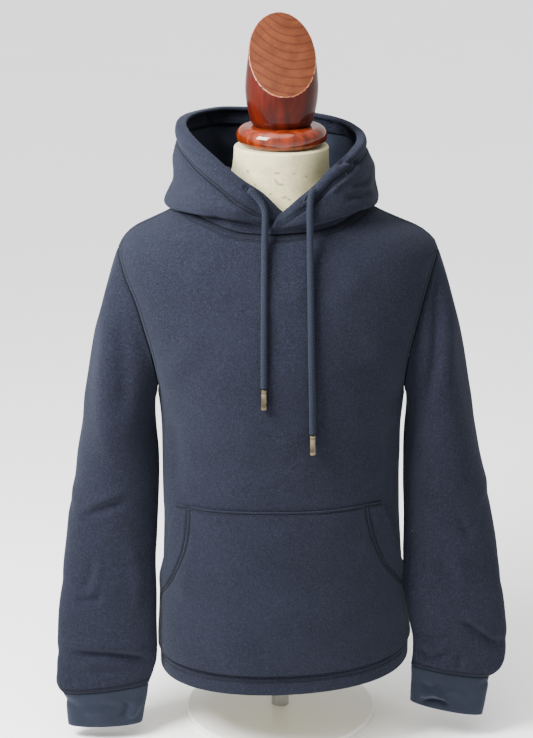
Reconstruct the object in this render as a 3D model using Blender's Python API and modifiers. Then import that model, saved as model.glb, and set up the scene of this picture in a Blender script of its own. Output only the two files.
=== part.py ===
"""Pullover hoodie worn by a limbless dress form.

Run with: blender --background --python part.py

World frame: +Z up, the front faces -Y, and the origin is the middle of the
stand's underside. Left and right are as seen from the front. Sizes in the
tables are millimetres and degrees. An angle on the body starts at the right
side seam (0), passes the centre front (90), the left side seam (180) and the
centre back (270).
"""

import functools
import math
from types import SimpleNamespace

import bmesh
import bpy
import numpy as np
from mathutils import Matrix, Vector

MM = 0.001                       # the tables' unit in metres

# Cloth
GAP = 0.35                       # clearance between neighbouring pieces at a seam
CLOTH = 2.0                      # brushed-back fleece, one layer
DOUBLE = 4.2                     # fleece folded on itself: hem and drawcord channel
CUFF_CLOTH = 3.0                 # cuff of folded cloth
LINING = 1.0                     # jersey inside the hood

# Body
HEM_HEIGHT = 100.0               # lower edge of the hem at the centre front
HEM_TILT = 8.0                   # rise of the hem at the right side, fall at the left
HEM_DEPTH = 27.0                 # turned-up hem
ARMHOLE_MIDDLE = 573.5           # height of the armhole's middle
ARMHOLE_HALF = 94.5              # half of the armhole's height
ARMHOLE_FRONT = 25.0             # how far the armhole cuts into the front, degrees
ARMHOLE_BACK = 22.0              # and into the back
ARMHOLE_ROUND = 0.8              # below 1 is squarer than an ellipse
NECK_MARGIN = 0.5                # the hood stands this far outside the neckline
NECK_RISE = 0.9                  # and this far above it

# Hood
HOOD_CENTRE = Vector((0.0, 8.0, 0.0))
CHANNEL_BACK = 30.0              # width of the drawcord channel along the face edge
CHANNEL_LEFT = 39.0              # and of what shows of it towards the front
CHANNEL_RIGHT = 26.0
LINING_START = 38.0              # degrees from the centre front
LINING_SLACK = 0.6               # the lining hangs this much looser at the channel
LAP_OVER = 2.4                   # right hood panel, outwards where it laps over
LAP_UNDER = -3.2                 # left hood panel, inwards where it lies under
LAP_CLOTH = 3.2                  # double cloth pressed flat at the lap
HOOD_PAST_LEFT = 6.0             # degrees each half runs past the centre front
HOOD_PAST_RIGHT = 9.5
LAP_ROUND = 2.4                  # roundness of the overlapping front edge, 1 is straight

# Drawcord
CORD_RADIUS = 4.25
CORD_STEP = 12.0                 # between the points of a cord

# Pocket
POCKET_STAND_OFF = 1.2           # inner face of the pocket above the front
POCKET_MOUTH_LIFT = 2.0          # the mouths' edges stand off a little more

# Mesh density
FOLD_ROWS = (3.0, 3.4, 3.7, 4.0, 4.3, 4.75, 5.35, 6.0, 6.5, 7.0)   # hood rows from the belly down
NORMAL_REACH = 2.6
BODY_COLUMNS = 18
ARMHOLE_STEPS = 12               # rows along each half of an armhole
HOOD_COLUMNS = 20
POCKET_COLUMNS = 24

# Dress form
NECK_TOP = 800.0
FORM_BOTTOM = 116.0
RING_RADIUS = 57.0
RING_HEIGHT = 25.0
FINIAL_CUT_FRONT = Vector((0.0, -41.0, 872.5))   # lowest point of the slanted cut
FINIAL_CUT_ANGLE = 48.4
POLE_RADIUS = 12.0
STAND_Y = 32.0                   # the stand is a little behind the neck axis
BASE_RADIUS = 130.0
BASE_HEIGHT = 8.0


class Table:
    """Rows of named columns, read on a smooth curve that never overshoots a row."""

    def __init__(self, columns, *rows, flat_end=False):
        data = np.array(rows, dtype=float)
        self.names = columns.split()[1:]
        self.key = data[:, 0]
        self.value = data[:, 1:]
        self.step = np.diff(self.key)
        rise = np.diff(self.value, axis=0) / self.step[:, None]
        self.slope = np.zeros_like(self.value)
        self.slope[0] = rise[0]
        self.slope[-1] = 0.0 if flat_end else rise[-1]
        for i in range(1, len(self.key) - 1):
            before, after = rise[i - 1], rise[i]
            same_way = before * after > 0
            total = np.where(same_way, before + after, 1.0)
            self.slope[i] = np.where(same_way, 2 * before * after / total, 0.0)

    def at(self, key):
        key = min(max(key, self.key[0]), self.key[-1])
        i = int(np.searchsorted(self.key, key, side="right")) - 1
        i = min(i, len(self.step) - 1)
        t = (key - self.key[i]) / self.step[i]
        start, end = self.value[i], self.value[i + 1]
        leave, arrive = self.slope[i] * self.step[i], self.slope[i + 1] * self.step[i]
        value = (start * (1 + 2 * t) * (1 - t) ** 2 + leave * t * (1 - t) ** 2
                 + end * t * t * (3 - 2 * t) + arrive * t * t * (t - 1))
        return SimpleNamespace(**dict(zip(self.names, value)))


# Horizontal sections of the worn body, at the outside of the cloth
TORSO = Table(
    "height half_width front back middle_x middle_y square",
    (60, 168, 128, 118, 5, 0, 0.030),
    (130, 168, 128, 118, 5, 0, 0.030),
    (165, 165, 128, 117, 4, 0, 0.030),
    (210, 162, 127, 114, 3, 0, 0.030),
    (265, 158, 126, 109, 2, 0, 0.030),
    (320, 156, 125, 104, 1, 0, 0.028),
    (370, 156, 125, 101, 0, 0, 0.025),
    (425, 156, 128, 101, 0, 0, 0.020),
    (480, 161, 132, 106, 0, 0, 0.015),
    (530, 175, 132, 112, -1, 0, 0.008),
    (570, 189, 127, 114, -2, 0, 0.0),
    (610, 199, 118, 113, -3, 0, 0.0),
    (640, 205, 110, 110, -5, 2, 0.0),
    (658, 206, 104, 107, -5, 4, 0.0),
    (674, 201.5, 98, 103, -4, 5, 0.0),
    (690, 186.5, 91, 98, -5.5, 6, 0.0),
    (703, 159, 84, 93, -8, 6, 0.0),
    (713, 137.5, 80, 89, -9, 6, 0.0),
    (722, 123, 76, 85, -10, 6, 0.0),
    (730, 103, 73, 80, -10, 6, 0.0),
    (740, 85, 68, 74, -7, 5, 0.0),
    (755, 72, 64, 67, -3, 3, 0.0),
    (775, 64, 61.5, 62, -1, 1, 0.0),
    (810, 60, 60, 60, 0, 0, 0.0),
)

# Neckline, where the hood is sewn on: the front dips and the back is high
NECKLINE = Table(
    "angle height",
    (0, 728), (36, 721.5), (54, 714), (66, 709), (78, 705.5), (90, 704), (104, 705),
    (114, 709), (126, 715.5), (144, 721.5), (180, 728), (225, 732), (270, 734),
    (315, 732), (360, 728),
)

# The dress form's surface inside the outside of the cloth
FORM_INSET = Table(
    "height inset",
    (100, 14), (430, 12), (520, 7), (590, 3.9), (640, 3.7), (680, 3.8), (698, 6.0),
    (722, 8.5), (740, 6.5), (765, 4), (800, 1.5),
)

# Sleeves from the top of the upper arm to the cuff seam
SLEEVE_LEFT = Table(
    "down outer inner middle_y half_depth height tilt",
    (0.00, -261, -163, -8, 62, 430, 0.0),
    (0.08, -266, -161, -11, 56, 400, 0.0),
    (0.19, -271, -160, -16, 49, 362, 0.0),
    (0.31, -279, -161, -22, 42, 320, 0.01),
    (0.40, -284, -163, -27, 37, 287, 0.02),
    (0.50, -288, -165, -31, 33, 253, 0.03),
    (0.60, -292, -165, -36, 30, 215, 0.04),
    (0.70, -295.5, -165, -41, 27, 180, 0.06),
    (0.80, -298, -165, -45, 24, 142, 0.08),
    (0.87, -299, -165, -47, 21, 118, 0.10),
    (0.91, -299.5, -166, -48, 18, 104, 0.11),
    (0.95, -300.5, -169, -49, 19.5, 92, 0.12),
    (0.98, -298, -173, -49.5, 18, 81, 0.127),
    (1.00, -293, -176.5, -50, 15, 73.5, 0.127),
)
SLEEVE_RIGHT = Table(
    "down outer inner middle_y half_depth height tilt",
    (0.00, 254, 161, -10, 60, 430, 0.0),
    (0.08, 260, 160, -14, 54, 400, 0.0),
    (0.19, 269, 160, -19, 48, 362, 0.0),
    (0.31, 277, 160.5, -25, 42, 320, 0.01),
    (0.40, 283, 161, -29, 37, 287, 0.02),
    (0.50, 288, 162, -33, 33, 253, 0.04),
    (0.60, 294, 164, -38, 30, 215, 0.06),
    (0.70, 299, 168, -42, 27, 180, 0.08),
    (0.80, 302, 172, -45, 24, 155, 0.10),
    (0.87, 301, 175, -47, 21, 138, 0.12),
    (0.91, 299.5, 175.5, -48, 18, 124, 0.14),
    (0.95, 295, 175.5, -49, 19.5, 113, 0.155),
    (0.98, 288, 175, -49.5, 18, 105, 0.163),
    (1.00, 280, 174, -50, 15, 99.5, 0.163),
)
CUFF_LEFT = Table(
    "down outer inner middle_y half_depth height tilt",
    (0.0, -292.6, -177, -50, 14.6, 73.0, 0.127),
    (0.2, -289.5, -178, -50, 15, 64.0, 0.11),
    (0.9, -287, -186, -51, 14.5, 25.0, 0.05),
    (1.0, -286.5, -187, -51, 14, 20.5, 0.04),
)
CUFF_RIGHT = Table(
    "down outer inner middle_y half_depth height tilt",
    (0.0, 279.5, 174.5, -50, 14.6, 98.8, 0.163),
    (0.2, 279, 174.5, -50, 15, 90.0, 0.17),
    (0.9, 273, 174, -51, 14.5, 49.0, 0.20),
    (1.0, 272, 174, -51, 14, 44.0, 0.21),
)

# Hood sections by the turn from the centre front to the centre back. The rim is
# the face edge, the brow rounds it over, the side and the belly hang outside,
# the fold is where the cloth turns under, and the tuck runs back to the neck.
# An "out" is the distance from HOOD_CENTRE; a "lift" is off the body.
HOOD_COLUMN_NAMES = ("turn rim_out rim_height brow_out brow_height side_out side_height"
                     " belly_out belly_height fold_height fold_lift tuck_lift")
HOOD_LEFT = Table(
    HOOD_COLUMN_NAMES,
    (0, 88.5, 733.5, 91.5, 729.5, 94.5, 723, 95.7, 716, 709.5, 3.5, 1.8),
    (15, 90.5, 756, 95.0, 752.5, 99.5, 737, 102.0, 722, 713, 4.0, 1.8),
    (28, 95.0, 770, 101.0, 767, 107.5, 748, 111.0, 726, 717.5, 4.5, 2.2),
    (40, 101.0, 785, 107.5, 782, 114.5, 757, 118.5, 728, 719.5, 4.5, 3.0),
    (51, 105.5, 798, 113.5, 795, 122.0, 758, 127.5, 728, 720, 4.5, 3.6),
    (63, 110.0, 809, 119.0, 806, 128.5, 756, 135.5, 728, 719, 5.5, 2.8),
    (76, 115.5, 819, 126.0, 816, 133.5, 754, 142.5, 727, 717.5, 5.5, 2.6),
    (90, 119.5, 826, 130.5, 822.5, 137.0, 753, 148.5, 726.5, 716.5, 5.5, 2.6),
    (115, 121.5, 829.5, 132.5, 826.5, 142.0, 757, 153.5, 721, 702, 8.5, 4.0),
    (140, 124.0, 828.5, 133.5, 826.5, 145.0, 762, 155.0, 698, 658, 14.0, 5.0),
    (160, 125.5, 824.5, 134.0, 822.5, 146.0, 761, 156.0, 662, 614, 17.0, 5.0),
    (180, 125.5, 820.5, 134.0, 818.5, 146.0, 760, 156.0, 642, 594, 18.0, 5.0),
    flat_end=True,
)
HOOD_RIGHT = Table(
    HOOD_COLUMN_NAMES,
    (0, 88.5, 733.5, 91.5, 729.5, 94.5, 723, 95.7, 716, 709.5, 3.5, 1.8),
    (15, 87.0, 753, 92.0, 749.5, 97.0, 734, 99.5, 720.5, 711, 3.5, 1.8),
    (28, 88.5, 767, 95.0, 764, 102.0, 745, 105.5, 724, 714, 4.0, 2.0),
    (38, 90.5, 781, 98.0, 778, 105.5, 755, 110.0, 727, 716.5, 4.5, 2.4),
    (50, 92.5, 791.5, 101.0, 788.5, 109.5, 764, 115.0, 729, 719.5, 4.5, 3.2),
    (60, 94.5, 799.5, 103.5, 796.5, 112.5, 768, 119.0, 732.5, 721, 5.5, 2.8),
    (70, 95.0, 805, 104.5, 802, 113.8, 769, 121.5, 732.5, 720, 5.5, 2.6),
    (90, 94.5, 810.5, 104.0, 807.5, 114.5, 768, 123.5, 732.0, 719.5, 5.5, 2.6),
    (115, 98.5, 813, 108.5, 810.5, 123.0, 768, 134.5, 724, 704, 8.5, 4.0),
    (135, 107.0, 815, 117.0, 813, 133.0, 765, 145.0, 704, 668, 13.0, 5.0),
    (156, 117.5, 817, 126.5, 815, 142.0, 762, 154.0, 667, 621, 16.5, 5.0),
    (180, 125.5, 820.5, 134.0, 818.5, 146.0, 760, 156.0, 642, 594, 18.0, 5.0),
    flat_end=True,
)

# Pocket: the mouths curve from the top corners to the side seams
POCKET_SIDES = Table(
    "height right left",
    (100, 0.8, 179.2), (206, 0.8, 179.2), (214, 3.5, 176.8), (226, 9, 171.5),
    (246, 16, 165.5), (270, 23, 160), (298, 28.5, 154.5), (326, 33, 151),
    (346, 36.4, 148.6), (356, 37, 148),
)
POCKET_TOP = Table(
    "angle height",
    (0, 350), (37, 352), (50, 355), (90, 355.5), (132, 350), (149, 345.5), (180, 345),
)

# Drawcord ends from the eyelets, over the front of the hood and down the chest
DRAWCORD_LEFT = (
    (-41.0, -86.2, 761.0), (-36.7, -86.6, 758.4), (-31.8, -87.2, 753.6),
    (-26.9, -88.0, 748.0), (-23.5, -89.2, 742.0), (-21.2, -90.8, 735.5),
    (-20.6, -92.4, 728.0), (-20.8, -93.9, 716.0), (-21.2, -95.9, 700.0),
    (-21.5, -99.6, 686.0), (-21.6, -107.2, 664.0), (-21.8, -116.2, 635.0),
    (-22.0, -124.9, 600.0), (-22.1, -132.8, 560.0), (-22.1, -135.9, 530.0),
    (-22.1, -136.2, 522.5),
)
DRAWCORD_RIGHT = (
    (38.0, -83.4, 761.5), (36.4, -85.0, 757.6), (35.0, -86.9, 752.6),
    (34.2, -89.4, 745.5), (33.8, -91.8, 738.0), (33.8, -94.2, 728.0),
    (34.0, -95.9, 716.0), (34.2, -97.6, 703.0), (34.4, -100.6, 686.0),
    (34.7, -106.6, 664.0), (35.1, -114.6, 635.0), (35.6, -123.3, 600.0),
    (36.2, -131.0, 560.0), (36.9, -134.0, 530.0), (37.5, -134.4, 500.0),
    (38.1, -134.4, 462.5),
)

# Turned profiles, from the top down on the outer side
AGLET_PROFILE = (
    (0, 0), (3.7, 0), (4.2, -0.6), (4.2, -4.6), (3.9, -5.4), (3.9, -20.2), (4.2, -21.0),
    (4.2, -25.4), (3.7, -26), (0, -26),
)
FINIAL_PROFILE = (
    (0, 990), (35, 990), (36.5, 975), (38.2, 950), (40, 930), (42.2, 910), (44.4, 890),
    (45.5, 872), (44.3, 856), (41.5, 841), (38.5, 830), (36, 825.8), (0, 825.8),
)

MATERIALS = {
    # name: (red, green, blue, roughness, metallic), linear colour
    "navy_fleece": (0.030, 0.042, 0.070, 0.95, 0.0),
    "navy_rib": (0.026, 0.036, 0.060, 0.95, 0.0),
    "navy_jersey": (0.022, 0.030, 0.050, 0.95, 0.0),
    "navy_braid": (0.050, 0.062, 0.095, 0.90, 0.0),
    "nickel": (0.62, 0.58, 0.50, 0.30, 1.0),
    "cream_canvas": (0.62, 0.58, 0.44, 0.85, 0.0),
    "varnished_wood": (0.22, 0.055, 0.020, 0.25, 0.0),
    "white_enamel": (0.80, 0.80, 0.80, 0.45, 0.0),
    "steel": (0.60, 0.60, 0.60, 0.35, 1.0),
}


def mix(start, end, t):
    return start + (end - start) * t


def smooth_step(t):
    t = min(max(t, 0.0), 1.0)
    return t * t * (3 - 2 * t)


def clear_scene():
    for thing in list(bpy.data.objects):
        bpy.data.objects.remove(thing, do_unlink=True)


def make_collection(name):
    collection = bpy.data.collections.new(name)
    bpy.context.scene.collection.children.link(collection)
    return collection


def make_materials():
    for name, (red, green, blue, roughness, metallic) in MATERIALS.items():
        material = bpy.data.materials.new(name)
        material.use_nodes = True
        shader = material.node_tree.nodes["Principled BSDF"]
        shader.inputs["Base Color"].default_value = (red, green, blue, 1.0)
        shader.inputs["Roughness"].default_value = roughness
        shader.inputs["Metallic"].default_value = metallic


def add_object(name, data, material, collection):
    thing = bpy.data.objects.new(name, data)
    thing.data.materials.append(bpy.data.materials[material])
    collection.objects.link(thing)
    return thing


def wall(name, outer, inner, material, collection, ring=False):
    """Closed cloth wall between two grids of points (rows of equal length).

    With ring, each row closes on itself, as round a sleeve.
    """
    rows, columns = len(outer), len(outer[0])
    points = [p * MM for grid in (outer, inner) for row in grid for p in row]

    def index(layer, i, j):
        return layer * rows * columns + i * columns + j % columns

    last = columns if ring else columns - 1
    faces = []
    for i in range(rows - 1):
        for j in range(last):
            faces.append([index(0, i, j), index(0, i, j + 1),
                          index(0, i + 1, j + 1), index(0, i + 1, j)])
            faces.append([index(1, i, j), index(1, i + 1, j),
                          index(1, i + 1, j + 1), index(1, i, j + 1)])
    for j in range(last):
        for i, k in ((0, 1), (rows - 1, 0)):
            faces.append([index(0, i, j + k), index(0, i, j + 1 - k),
                          index(1, i, j + 1 - k), index(1, i, j + k)])
    if not ring:
        for i in range(rows - 1):
            for j, k in ((0, 0), (columns - 1, 1)):
                faces.append([index(0, i + k, j), index(0, i + 1 - k, j),
                              index(1, i + 1 - k, j), index(1, i + k, j)])
    mesh = bpy.data.meshes.new(name)
    mesh.from_pydata(points, [], faces)
    outwards = bmesh.new()
    outwards.from_mesh(mesh)
    bmesh.ops.recalc_face_normals(outwards, faces=outwards.faces)
    bmesh.ops.triangulate(outwards, faces=outwards.faces)
    outwards.to_mesh(mesh)
    outwards.free()
    mesh.shade_smooth()
    mesh.set_sharp_from_angle(angle=math.radians(50))
    return add_object(name, mesh, material, collection)


def surface_normal(surface, u, v, outwards, reach_u=0.5, reach_v=0.002):
    """Unit normal of surface(u, v), on the side that outwards points to."""
    along_u = surface(u + reach_u, v) - surface(u - reach_u, v)
    along_v = surface(u, v + reach_v) - surface(u, v - reach_v)
    normal = along_u.cross(along_v).normalized()
    return normal if normal.dot(outwards) > 0 else -normal


# ---------------------------------------------------------------- body

def body_surface(angle, height):
    """Point on the outside of the worn body."""
    section = TORSO.at(height)
    cosine, sine = math.cos(math.radians(angle)), math.sin(math.radians(angle))
    swell = 1 + section.square * math.sin(2 * math.radians(angle)) ** 2
    depth = section.front + section.middle_y if sine > 0 else section.back - section.middle_y
    return Vector((section.middle_x + section.half_width * cosine * swell,
                   section.middle_y - depth * sine * swell,
                   height))


def body_normal(angle, height):
    around = body_surface(angle + 0.5, height) - body_surface(angle - 0.5, height)
    up = body_surface(angle, height + 0.5) - body_surface(angle, height - 0.5)
    return -around.cross(up).normalized()


def on_body(angle, height, lift=0.0):
    """Point lifted off the worn body along its normal."""
    return body_surface(angle, height) + body_normal(angle, height) * lift


def hem_height(angle):
    return HEM_HEIGHT + HEM_TILT * math.cos(math.radians(angle))


def seam_angle(height):
    """Half of the side seam's gap, in degrees."""
    return math.degrees(GAP / 2 / TORSO.at(height).front)


def armhole_cut(height, widest):
    """How far the armhole cuts into a panel at this height, in degrees."""
    t = (height - ARMHOLE_MIDDLE) / ARMHOLE_HALF
    return widest * max(1 - t * t, 0.0) ** (ARMHOLE_ROUND / 2)


def body_rows():
    """Heights of a panel's rows as (base, share of the way to the neckline)."""
    armpit = ARMHOLE_MIDDLE - ARMHOLE_HALF
    tip = ARMHOLE_MIDDLE + ARMHOLE_HALF
    rows = [("hem", 0.0), ("hem", 2.5), ("hem", HEM_DEPTH), ("hem", HEM_DEPTH + 2)]
    rows += [("height", mix(HEM_HEIGHT + 60, armpit, i / 6)) for i in range(6)]
    rows += [("height", ARMHOLE_MIDDLE - ARMHOLE_HALF * math.cos(math.pi * i / ARMHOLE_STEPS))
             for i in range(ARMHOLE_STEPS + 1)]
    rows += [("neck", mix(0, 1, i / 3)) for i in (1, 2, 3)]
    return rows, tip


def panel(name, first_angle, armhole, collection):
    """Front (first_angle 0) or back (180): from hem to neckline, seam to seam."""
    rows, tip = body_rows()
    outer, inner = [], []
    for kind, value in rows:
        neckline = mix(tip, NECKLINE.at(0).height, value)
        level = {"hem": HEM_HEIGHT, "height": value, "neck": neckline}[kind]
        cut = armhole_cut(value, armhole) if kind == "height" else 0.0
        inset = max(cut, seam_angle(level))
        double = kind == "hem" and value <= HEM_DEPTH
        thickness = DOUBLE if double and value > 0 else CLOTH
        outer_row, inner_row = [], []
        for j in range(BODY_COLUMNS + 1):
            angle = mix(first_angle + inset, first_angle + 180 - inset, j / BODY_COLUMNS)
            height = value
            if kind == "hem":
                height = hem_height(angle) + value
            if kind == "neck":
                height = mix(tip, NECKLINE.at(angle).height, value)
            outer_row.append(on_body(angle, height))
            inner_row.append(on_body(angle, height, -thickness))
        outer.append(outer_row)
        inner.append(inner_row)
    return wall(name, outer, inner, "navy_fleece", collection)


# ---------------------------------------------------------------- sleeves

def sleeve_ring(table, down, turn, side):
    """Point on a sleeve's section; turn 0 faces the body and 90 the front."""
    ring = table.at(down)
    cosine, sine = math.cos(math.radians(turn)), math.sin(math.radians(turn))
    reach = (ring.inner - ring.outer) / 2 * cosine
    return Vector(((ring.inner + ring.outer) / 2 + reach,
                   ring.middle_y - ring.half_depth * sine,
                   ring.height - ring.tilt * side * reach))


def armhole_point(turn, side, margin):
    """Angle and height on the body at this turn round an armhole."""
    sine = math.sin(math.radians(turn))
    widest = (ARMHOLE_FRONT if sine > 0 else -ARMHOLE_BACK) * side
    shrink = 1 - margin / 60
    height = ARMHOLE_MIDDLE - (ARMHOLE_HALF - margin) * math.cos(math.radians(turn))
    angle = (0 if side > 0 else 180) + widest * shrink * abs(sine) ** ARMHOLE_ROUND
    return angle, height


def sleeve_surface(table, side):
    """Function of (turn, v): v 0 is the armhole, 1 the upper arm and 2 the cuff seam."""

    def surface(turn, v):
        if v > 1:
            return sleeve_ring(table, v - 1, turn, side)
        v = max(v, 0.0)
        cosine, sine = math.cos(math.radians(turn)), math.sin(math.radians(turn))
        start = on_body(*armhole_point(turn, side, 2 * GAP))
        end = sleeve_ring(table, 0, turn, side)
        leave = Vector((side * (0.35 + 0.3 * sine * sine), -0.35 * sine, -0.85)).normalized()
        leave *= 37.5 - 22.5 * cosine
        arrive = sleeve_ring(table, 0.02, turn, side) - end
        arrive = arrive.normalized() * (47.5 - 32.5 * cosine)
        return (start * (1 - v) ** 3 + (start + leave) * 3 * v * (1 - v) ** 2
                + (end - arrive) * 3 * v * v * (1 - v) + end * v ** 3)

    return surface


def sleeve(name, table, side, collection):
    surface = sleeve_surface(table, side)
    levels = [0, 0.06, 0.16, 0.28, 0.42, 0.56, 0.7, 0.85, 1.0]
    levels += [1.12, 1.25, 1.4, 1.55, 1.68, 1.8, 1.87, 1.91, 1.955, 2.0]
    turns = [360 * j / (2 * ARMHOLE_STEPS) for j in range(2 * ARMHOLE_STEPS)]
    outer, inner = [], []
    for v in levels:
        middle = Vector((0, 0, 0))
        for turn in turns:
            middle += surface(turn, v) / len(turns)
        outer_row, inner_row = [], []
        for turn in turns:
            point = surface(turn, v)
            normal = surface_normal(surface, turn, v, point - middle)
            if v == 0:
                # at the shoulder the two walls meet edge to edge, in the armpit back to back
                share = smooth_step((1 - math.cos(math.radians(turn))) / 2)
                normal = normal.lerp(body_normal(*armhole_point(turn, side, 2 * GAP)), share)
                normal.normalize()
            outer_row.append(point)
            inner_row.append(point - normal * CLOTH)
        outer.append(outer_row)
        inner.append(inner_row)
    return wall(name, outer, inner, "navy_fleece", collection, ring=True)


def cuff(name, table, side, collection):
    turns = [360 * j / (2 * ARMHOLE_STEPS) for j in range(2 * ARMHOLE_STEPS)]
    outer, inner = [], []
    for down, thickness in ((0, CLOTH), (0.12, CUFF_CLOTH), (0.55, CUFF_CLOTH),
                            (0.95, CUFF_CLOTH), (1.0, CLOTH)):
        outer_row, inner_row = [], []
        for turn in turns:
            point = sleeve_ring(table, down, turn, side)
            around = (sleeve_ring(table, down, turn + 1, side)
                      - sleeve_ring(table, down, turn - 1, side))
            normal = Vector((around.y, -around.x, 0)).normalized()
            ring = table.at(down)
            middle = Vector(((ring.inner + ring.outer) / 2, ring.middle_y, ring.height))
            if normal.dot(point - middle) < 0:
                normal.negate()
            outer_row.append(point)
            inner_row.append(point - normal * thickness)
        outer.append(outer_row)
        inner.append(inner_row)
    return wall(name, outer, inner, "navy_rib", collection, ring=True)


# ---------------------------------------------------------------- pocket

def pocket(collection):
    outer, inner = [], []
    rows = 9
    for i in range(rows + 1):
        t = i / rows
        bottom = HEM_HEIGHT + HEM_DEPTH + 3
        sides = POCKET_SIDES.at(mix(bottom, POCKET_TOP.at(90).height, t))
        mouth = smooth_step((t - 0.32) / 0.2) * smooth_step((1 - t) / 0.15)
        outer_row, inner_row = [], []
        for j in range(POCKET_COLUMNS + 1):
            s = j / POCKET_COLUMNS
            angle = mix(sides.right, sides.left, s)
            height = mix(hem_height(angle) + HEM_DEPTH + 3, POCKET_TOP.at(angle).height, t)
            edge = smooth_step(abs(2 * s - 1) * 4 - 3)
            lift = POCKET_STAND_OFF + POCKET_MOUTH_LIFT * mouth * edge
            outer_row.append(on_body(angle, height, lift + CLOTH))
            inner_row.append(on_body(angle, height, lift))
        outer.append(outer_row)
        inner.append(inner_row)
    return wall("pocket", outer, inner, "navy_fleece", collection)


# ---------------------------------------------------------------- hood

def curve_through(points, v):
    """Smooth curve through the points; v counts them, so v 2.5 lies after the third."""
    last = len(points) - 1
    v = min(max(v, 0.0), last)
    i = min(int(v), last - 1)
    s = v - i

    def slope(k):
        before, after = max(k - 1, 0), min(k + 1, last)
        length = sum((points[m + 1] - points[m]).length for m in range(before, after))
        return (points[after] - points[before]) / length

    span = (points[i + 1] - points[i]).length
    return (points[i] * (1 + 2 * s) * (1 - s) ** 2 + slope(i) * span * s * (1 - s) ** 2
            + points[i + 1] * s * s * (3 - 2 * s) + slope(i + 1) * span * s * s * (s - 1))


def level_at(points, distance):
    """The v of curve_through that lies this far along the points' chords."""
    for i in range(len(points) - 1):
        span = (points[i + 1] - points[i]).length
        if distance <= span:
            return i + distance / span
        distance -= span
    return float(len(points) - 1)


def body_angle(azimuth, height):
    """Angle on the body of the ray that leaves HOOD_CENTRE at this azimuth."""
    section = TORSO.at(height)
    cosine, sine = math.cos(math.radians(azimuth)), math.sin(math.radians(azimuth))
    across, ahead = section.middle_x - HOOD_CENTRE.x, HOOD_CENTRE.y - section.middle_y
    depth = section.front + section.middle_y if sine > 0 else section.back - section.middle_y
    a = (cosine / section.half_width) ** 2 + (sine / depth) ** 2
    b = -2 * (cosine * across / section.half_width ** 2 + sine * ahead / depth ** 2)
    c = (across / section.half_width) ** 2 + (ahead / depth) ** 2 - 1
    reach = (-b + math.sqrt(b * b - 4 * a * c)) / (2 * a)
    return math.degrees(math.atan2((reach * sine - ahead) / depth,
                                   (reach * cosine - across) / section.half_width)) % 360


@functools.lru_cache(maxsize=None)
def hood_section(side, turn):
    """The section's eight points at this turn, from the rim to the neck seam.

    Past the centre front a half stands out as far as the other one, which it laps.
    """
    row = (HOOD_RIGHT if side > 0 else HOOD_LEFT).at(turn)
    out = (HOOD_RIGHT if side * turn > 0 else HOOD_LEFT).at(abs(turn))
    lap = LAP_OVER if side > 0 else LAP_UNDER
    over = lap * (1 - smooth_step((turn - 14) / 22))
    azimuth = 90 - side * turn
    away = Vector((math.cos(math.radians(azimuth)), -math.sin(math.radians(azimuth)), 0))
    seam = NECKLINE.at(90).height
    for _ in range(4):
        seam = NECKLINE.at(body_angle(azimuth, seam)).height
    seam += NECK_RISE

    def free(distance, height):
        return HOOD_CENTRE + away * (distance + over) + Vector((0, 0, height))

    def under(way, lift):
        height = mix(row.fold_height, seam, way)
        return on_body(body_angle(azimuth, height), height, lift + over * (1 - way / 2))

    return (
        free(out.rim_out, row.rim_height),
        free(out.brow_out, row.brow_height),
        free(out.side_out, row.side_height),
        free(out.belly_out, row.belly_height),
        under(0.0, row.fold_lift),
        under(0.35, row.tuck_lift),
        under(0.7, row.tuck_lift * 0.6),
        under(1.0, NECK_MARGIN),
    )


def hood_point(side, turn, v):
    return curve_through(hood_section(side, round(turn, 6)), v)


def moved(section, v, distance):
    """The v that lies this far from another along the section."""
    last = len(section) - 1
    i = min(int(v), last - 1)
    spans = [(section[k + 1] - section[k]).length for k in range(i + 1)]
    return level_at(section, sum(spans[:i]) + (v - i) * spans[i] + distance)


def hood_normal(side, turn, v):
    """Unit normal of the hood, away from its hollow, evened out over some millimetres."""
    section = hood_section(side, round(turn, 6))
    along_turn = hood_point(side, turn + 1.5, v) - hood_point(side, turn - 1.5, v)
    along_v = (curve_through(section, moved(section, v, NORMAL_REACH))
               - curve_through(section, moved(section, v, -NORMAL_REACH)))
    return along_turn.cross(along_v).normalized() * -side


def hood_columns(side):
    """Turns of a hood half's columns as (at the rim, at the neck seam).

    Past the centre front the face edge curves down to the neck seam.
    """
    past = HOOD_PAST_RIGHT if side > 0 else HOOD_PAST_LEFT
    last = 180 - math.degrees(0.75 * GAP / 125)
    columns = []
    for i in range(HOOD_COLUMNS + 1):
        share = (i / HOOD_COLUMNS) ** 1.15
        columns.append((last * share, mix(-past, last, share)))
    return columns


def hood_levels(side, turn):
    """Rows down a column, in v: the channel's rows and the rest."""
    width = mix(CHANNEL_RIGHT if side > 0 else CHANNEL_LEFT, CHANNEL_BACK,
                smooth_step((turn - 60) / 60))
    channel = min(level_at(hood_section(side, turn), width), 2.7)
    return [0.0, 0.5, 1.0, 0.97 * channel], [channel, mix(channel, 3.0, 0.5), *FOLD_ROWS]


def hood_wall(name, side, columns, rows_of, material, collection):
    """Wall whose columns run from the rim to the neck seam.

    rows_of(turn) lists (v, depth, thickness); depth is inwards from the surface.
    """
    outer, inner = [], []
    for rim_turn, seam_turn in columns:
        outer_row, inner_row = [], []
        for v, depth, thickness in rows_of(rim_turn):
            turn = mix(rim_turn, seam_turn, 1 - (1 - v / 7) ** LAP_ROUND)
            normal = hood_normal(side, turn, v)
            point = hood_point(side, turn, v)
            outer_row.append(point - normal * depth)
            inner_row.append(point - normal * (depth + thickness))
        outer.append(outer_row)
        inner.append(inner_row)
    return wall(name, outer, inner, material, collection)


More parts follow.
